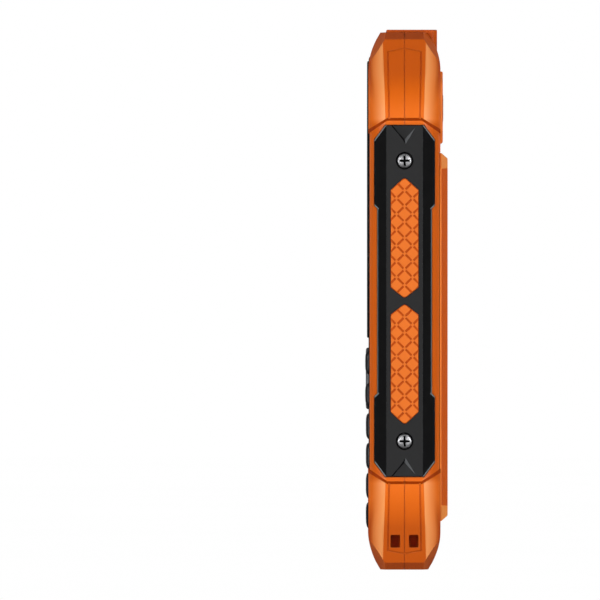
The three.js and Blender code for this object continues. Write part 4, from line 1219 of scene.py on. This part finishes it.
for name, box in keys.items():
    ring_key = name == "key_navigation"
    cap, finish = (navigation_ring(), key_grey) if ring_key else (key_cap(name), key_black)
    piece(cap, name + "_cap", finish, name, sharp=radians(40))
    x, z, face = box.x, box.z, box.low.y
    printed = (face - PRINT_PROUD, face + PRINT_SUNK, "Y")
    label = LEGENDS.get(name, name[4:])
    ink = print_pale
    if len(label) == 1:
        legend = character(label, x, face - 0.004, z)
    elif label.startswith("soft"):
        legend = block(x - 1.7, x + 1.7, z - 0.28, z + 0.28, *printed, 0.25, 4)
    elif label in ("call", "end"):
        sign, ink = (1, print_red) if label == "end" else (-1, print_green)
        legend = handset_icon(x, z, sign, printed)
    elif ring_key:
        legend = arrows(z, face)
    else:
        continue
    piece(legend, name + "_legend", ink, name, replaces=False)

# ---- back face
COVER_SIDE, COVER_END, COVER_CORNER = 4.0, 1.5, 3.9
COVER_FLANGE = 1.5   # depth of the cover's slopes


def battery_cover():
    half, face = cover.high.x, cover.high.y
    flange = face - COVER_FLANGE
    top = mirrored([
        (half - 6.6, cover.low.z + COVER_END), (half - COVER_SIDE, cover.low.z + COVER_CORNER),
        (half - COVER_SIDE, cover.high.z - COVER_CORNER), (half - 6.6, cover.high.z - COVER_END)])
    base, crown = soften(cover_outline(), 0.5, 3), soften(top, 0.5, 3)
    tray = loft([(base, cover.low.y), (base, flange - 0.1), (inset(base, 0.06), flange),
                 (inset(crown, -0.25), face - 0.12), (inset(crown, -0.1), face - 0.03),
                 (inset(crown, 0.12), face)], "Y")
    inside = block(*seal.seen("Y", -1.4), 0, face - 1.3, "Y", 1.5)
    ribs = [block(-15, 15, z - 0.55, z + 0.55, face - 0.3, PAST, "Y", 0.5, 4) for z in (92, 89, 86)]
    return cut(tray, inside, *ribs, *at_cover_screws(3, face - 1.2, PAST), *at_cover_screws(1.45, 0, PAST))


def cover_screw(x):
    tip, face = coin.low.y, coin.high.y
    under = face - 1.0
    body = lathe([(0, tip), (1, tip), (1.3, tip + 0.4), (1.3, under), (2.8, under), (2.8, face - 0.28),
                  (2.7, face - 0.1), (2.5, face), (0, face)], "Y", segments=56)
    return shift(cut(body, block(-3.5, 3.5, -0.42, 0.42, face - 0.55, face + 1, "Y")), x, 0, coin.z)


def upper_plate():
    blank = slab(soften(upper_plate_outline(), 0.6, 3), upper.low.y, upper.high.y, "Y", 0, 0.35)
    slots = []
    for i in range(-2, 3):
        offset = i * 1.7
        half, z = (9 - abs(offset)) / 2, speaker.z + offset
        slots.append(block(speaker.x - half, speaker.x + half, z - 0.4, z + 0.4, 0, PAST, "Y", 0.38, 5))
    return cut(blank, rod(3.6, 0, 12, "Y", CAMERA, 56), *slots)


def camera_turned(profile):
    return lathe(profile, "Y", CAMERA, 56)


fine("battery_cover", battery_cover(), cover_orange)
fine("cover_seal", seal_ring(0, seal.low.y, seal.high.y), rubber_black)
for side, x in (("right", coin.x), ("left", -coin.x)):
    fine(f"cover_screw_{side}", cover_screw(x), steel)
piece(upper_plate(), "upper_plate_fine", plate_orange, "rear_upper_plate")
bezel = cut(camera_turned([(0, 8.72), (3.4, 8.72), (3.4, 9.66), (3.3, 9.8), (3.1, 9.85), (0, 9.85)]),
            camera_turned([(0, 9.35), (2.1, 9.35), (2.65, 9.9), (2.65, 11), (0, 11)]))
piece(bezel, "camera_bezel", nickel, "camera_lens")
eye = camera_turned([(0, 9.2), (2.0, 9.2), (2.0, 9.42), (1.5, 9.56), (0.8, 9.66), (0, 9.7)])
piece(eye, "camera_eye", lens_dark, "camera_lens", replaces=False)
pack = block(*battery.seen("Y"), battery.low.y, battery.high.y, "Y", 1.6, r_low=0.7, r_high=0.7)
contact_slot = block(-4.4, 4.4, 3.0, 5.0, battery.low.z - 1, battery.low.z + 0.35)
fine("battery_pack", cut(pack, contact_slot), wrap_blue)
label = block(-14, 14, 40, 82, battery.high.y - 0.02, battery.high.y + 0.03, "Y", 1.2)
piece(label, "battery_label", label_pale, "battery_pack", replaces=False)
pads = join(*[block(x - 0.9, x + 0.9, 3.2, 4.7, battery.low.z + 0.2, battery.low.z + 0.4)
              for x in (-3, 0, 3)])
piece(pads, "battery_pads", gold, "battery_pack", replaces=False)

# ---- torch and ports
bowls, glass = Box("torch_reflector"), Box("torch_lens")
BOWL_X = 4.3


def torch_head():
    (x0, y0, z0), (x1, y1, z1) = torch.low, torch.high
    outline = [(x0, y0), (x1, y0), (x1, y1 - 1), (x1 - 1, y1), (x0 + 1, y1), (x0, y1 - 1)]
    body = slab(soften(outline, 0.4, 3), z0, z1, "Z", 0, 0.25)
    well = block(*torch.seen("Z", -2), z0 + 2, PAST * 3, radius=1.0)
    seat = block(*torch.seen("Z", -1.4), z1 - 1.2, PAST * 3, radius=1.2)
    return cut(body, well, seat, block(-3, 3, -1, 3, z0 - 1, z0 + 3))


def reflector():
    low, high = bowls.low.z, bowls.high.z
    curve = [(1.5 + 2.5 * (k / 12) ** 0.5, low + (high - low + 0.3) * k / 12) for k in range(13)]
    profile = [(0, low - 1), (1.5, low - 1), *curve, (0, high + 0.3)]
    return cut(block(*bowls.seen("Z"), low, high, radius=0.9),
               *[lathe(profile, "Z", (x, bowls.y, 0), 56) for x in (-BOWL_X, BOWL_X)])


def port_flap():
    low, high = flap.low, flap.high
    body = block(*flap.seen("Z"), low.z, 1.3, radius=0.9, r_low=0.2, r_high=0.1)
    rim = cut(block(-12.2, 12.2, -3.2, 3.2, 1.0, high.z, radius=0.7, r_high=0.25),
              block(-11.3, 11.3, -2.3, 2.3, 1.3, high.z + 1, radius=0.5))
    notch = block(-3, 3, low.y - 1, low.y + 0.6, -1, 0.6, radius=0.5)
    lines = [block(-9, 9, y - 0.15, y + 0.15, -1, 0.12) for y in (-1.2, 0, 1.2)]
    return cut(join(body, rim), notch, *lines)


fine("torch_head", torch_head(), shaded_torch_orange)
fine("torch_reflector", reflector(), mirror_metal)
fine("torch_lens", block(*glass.seen("Z"), glass.low.z, glass.high.z, radius=1.1, r_high=0.15), lens_clear)
for index, x in ((1, -BOWL_X), (2, BOWL_X)):
    dome = lathe([(0, 129.2), (0.95, 129.2), (0.95, 129.5), (0.75, 129.95), (0.4, 130.2), (0, 130.28)], "Z",
                 (x, bowls.y, 0), 40)
    piece(dome, f"torch_led_dome_{index}", led_yellow, "torch_led", replaces=False)
piece(port_flap(), "port_flap_fine", rubber_black, "port_cover")

# ---- carried-over CAD pieces
for material, names in (
        (rubber_black, ["keypad_mat"]),
        (board_green, ["key_board", "main_board", "torch_led"]),
        (plastic_black, ["lcd_module", "loudspeaker", "camera_module", "battery_contacts"]),
        (nickel, ["earpiece", "shield_can", "vibration_motor", "sim_card_holder", "usb_out_socket",
                  "usb_in_socket"])):
    for name in names:
        slots = frame["nodes"][name].data.materials
        slots.clear()
        slots.append(material)

# ---- floor, light and camera
FLOOR_DROP = 0.0095  # room under the handset for the port flap to swing down
FLOOR_HALF = 6
# The painted shadow under the handset: how far it reaches, in metres, and its darkest tone.
SHADE_REACH, SHADE_TONE = 0.05, 0.72
FLOOR_GLOW, FLOOR_IN_GLOSS = 0.4, 0.06
AMBIENT, AMBIENT_IN_GLOSS = 0.12, 0.06
OVERHEAD_FROM, OVERHEAD_TO, OVERHEAD_IN_GLOSS = 0.78, 0.92, 0.5
LIGHTS = (
    # name, azimuth, elevation, distance, width, height, power, seen in gloss
    ("near_keys", 65, 0, 1.2, 0.22, 0.6, 6.6, True),
    ("near_back", 115, 0, 1.2, 0.22, 0.6, 6.6, True),
    ("strip_keys", 36, 0, 1.1, 0.36, 0.5, 5.0, True),
    ("strip_back", 144, 0, 1.1, 0.36, 0.5, 5.0, True),
    ("behind_keys", 300, 10, 1.8, 1.6, 1.4, 18.0, False),
    ("behind_back", 240, 10, 1.8, 1.6, 1.4, 18.0, False),
    ("far_glint", 255, 30, 1.4, 0.3, 0.9, 1.5, False),
    ("top", 270, 62, 1.5, 0.8, 0.8, 1.6, False),
)


def stage_material():
    """A white sweep: plain white to the camera apart from a painted soft shadow under the handset, taken
    from ambient occlusion.
    """
    n = Finish("studio_floor")
    near = n.get("AmbientOcclusion", {"Distance": SHADE_REACH}, "AO", samples=16)
    tone = n.ramp(n.noise(0.004, 2.0), 0.3, 0.7, 0.995, 1.0)
    seen = n.add("LightPath").outputs
    # Painted shadow: the white goes darker where ambient occlusion finds the handset near.
    glow = n.times(tone, n.ramp(near, 0.2, 0.95, SHADE_TONE, 1.0))
    dim = n.ramp(seen["Is Glossy Ray"], 0, 1, FLOOR_GLOW, FLOOR_IN_GLOSS)
    lit = n.either(seen["Is Camera Ray"], *[n.get("Emission", {"Strength": s}) for s in (dim, glow)])
    # Clear from below, so that the bottom end can be seen.
    below = n.get("NewGeometry", output="Backfacing")
    n.feed(n.output, {0: n.either(below, lit, n.get("BsdfTransparent"))})
    return n.material


def studio_world():
    """White to the camera and dim on the handset, with a brighter patch overhead in its gloss."""
    world = bpy.data.worlds.new("studio")
    n = Nodes(world, "OutputWorld")
    seen = n.add("LightPath").outputs
    upwards = n.get("SeparateXYZ", {0: n.get("TexCoord", output="Generated")}, "Z")
    overhead = n.ramp(upwards, OVERHEAD_FROM, OVERHEAD_TO, AMBIENT_IN_GLOSS, OVERHEAD_IN_GLOSS)
    ambient = n.ramp(seen["Is Glossy Ray"], 0, 1, AMBIENT, overhead)
    skies = [n.get("Background", {0: WHITE, 1: strength}) for strength in (ambient, 1.0)]
    n.feed(n.output, {0: n.either(seen["Is Camera Ray"], *skies)})
    return world


def area_light(name, azimuth, elevation, distance, width, height, power, in_gloss):
    """A softbox aimed at the handset; azimuth 90 is the camera's side."""
    a, e = radians(azimuth), radians(elevation)
    back = Vector((sin(a) * cos(e), -cos(a) * cos(e), sin(e)))
    data = bpy.data.lights.new(name, "AREA")
    data.shape = "RECTANGLE"
    data.size, data.size_y, data.energy = width, height, power
    light = bpy.data.objects.new(name, data)
    scene.collection.objects.link(light)
    light.location = (cad_bounds[0] + cad_bounds[1]) / 2 + back * distance
    light.rotation_mode = "QUATERNION"
    light.rotation_quaternion = (-back).to_track_quat("-Z", "Y")
    light.visible_camera = False
    light.visible_glossy = in_gloss


floor = solid([(-FLOOR_HALF, -FLOOR_HALF, 0), (FLOOR_HALF, -FLOOR_HALF, 0),
               (FLOOR_HALF, FLOOR_HALF, 0), (-FLOOR_HALF, FLOOR_HALF, 0)], [[0, 1, 2, 3]])
shift(floor, z=cad_bounds[0].z - FLOOR_DROP)
floor.name = "studio_floor"
workshop.objects.unlink(floor)
scene.collection.objects.link(floor)
floor.data.materials.append(stage_material())
scene.world = studio_world()
for light_values in LIGHTS:
    area_light(*light_values)

camera = bpy.data.cameras.new("camera")
camera.sensor_width = 36
camera.lens = 1500  # the photograph shows no perspective
camera.clip_end = 50
scene.camera = bpy.data.objects.new("camera", camera)
scene.collection.objects.link(scene.camera)
FRAME_SPAN = 0.150       # height and width of the picture at the handset
SIDEWAYS = -0.02610      # the handset stands right of the picture's centre
CAMERA_HEIGHT = 0.06745
NEAR_SIDE = 0.018        # depth of the plane that is seen at true scale
distance = FRAME_SPAN * camera.lens / camera.sensor_width
scene.camera.location = Vector((NEAR_SIDE + distance, SIDEWAYS, CAMERA_HEIGHT))
scene.camera.rotation_euler = (radians(90), 0, radians(90))
scene.view_settings.view_transform = "Standard"

for leftover in list(workshop.objects):
    bpy.data.objects.remove(leftover)
bpy.data.collections.remove(workshop)
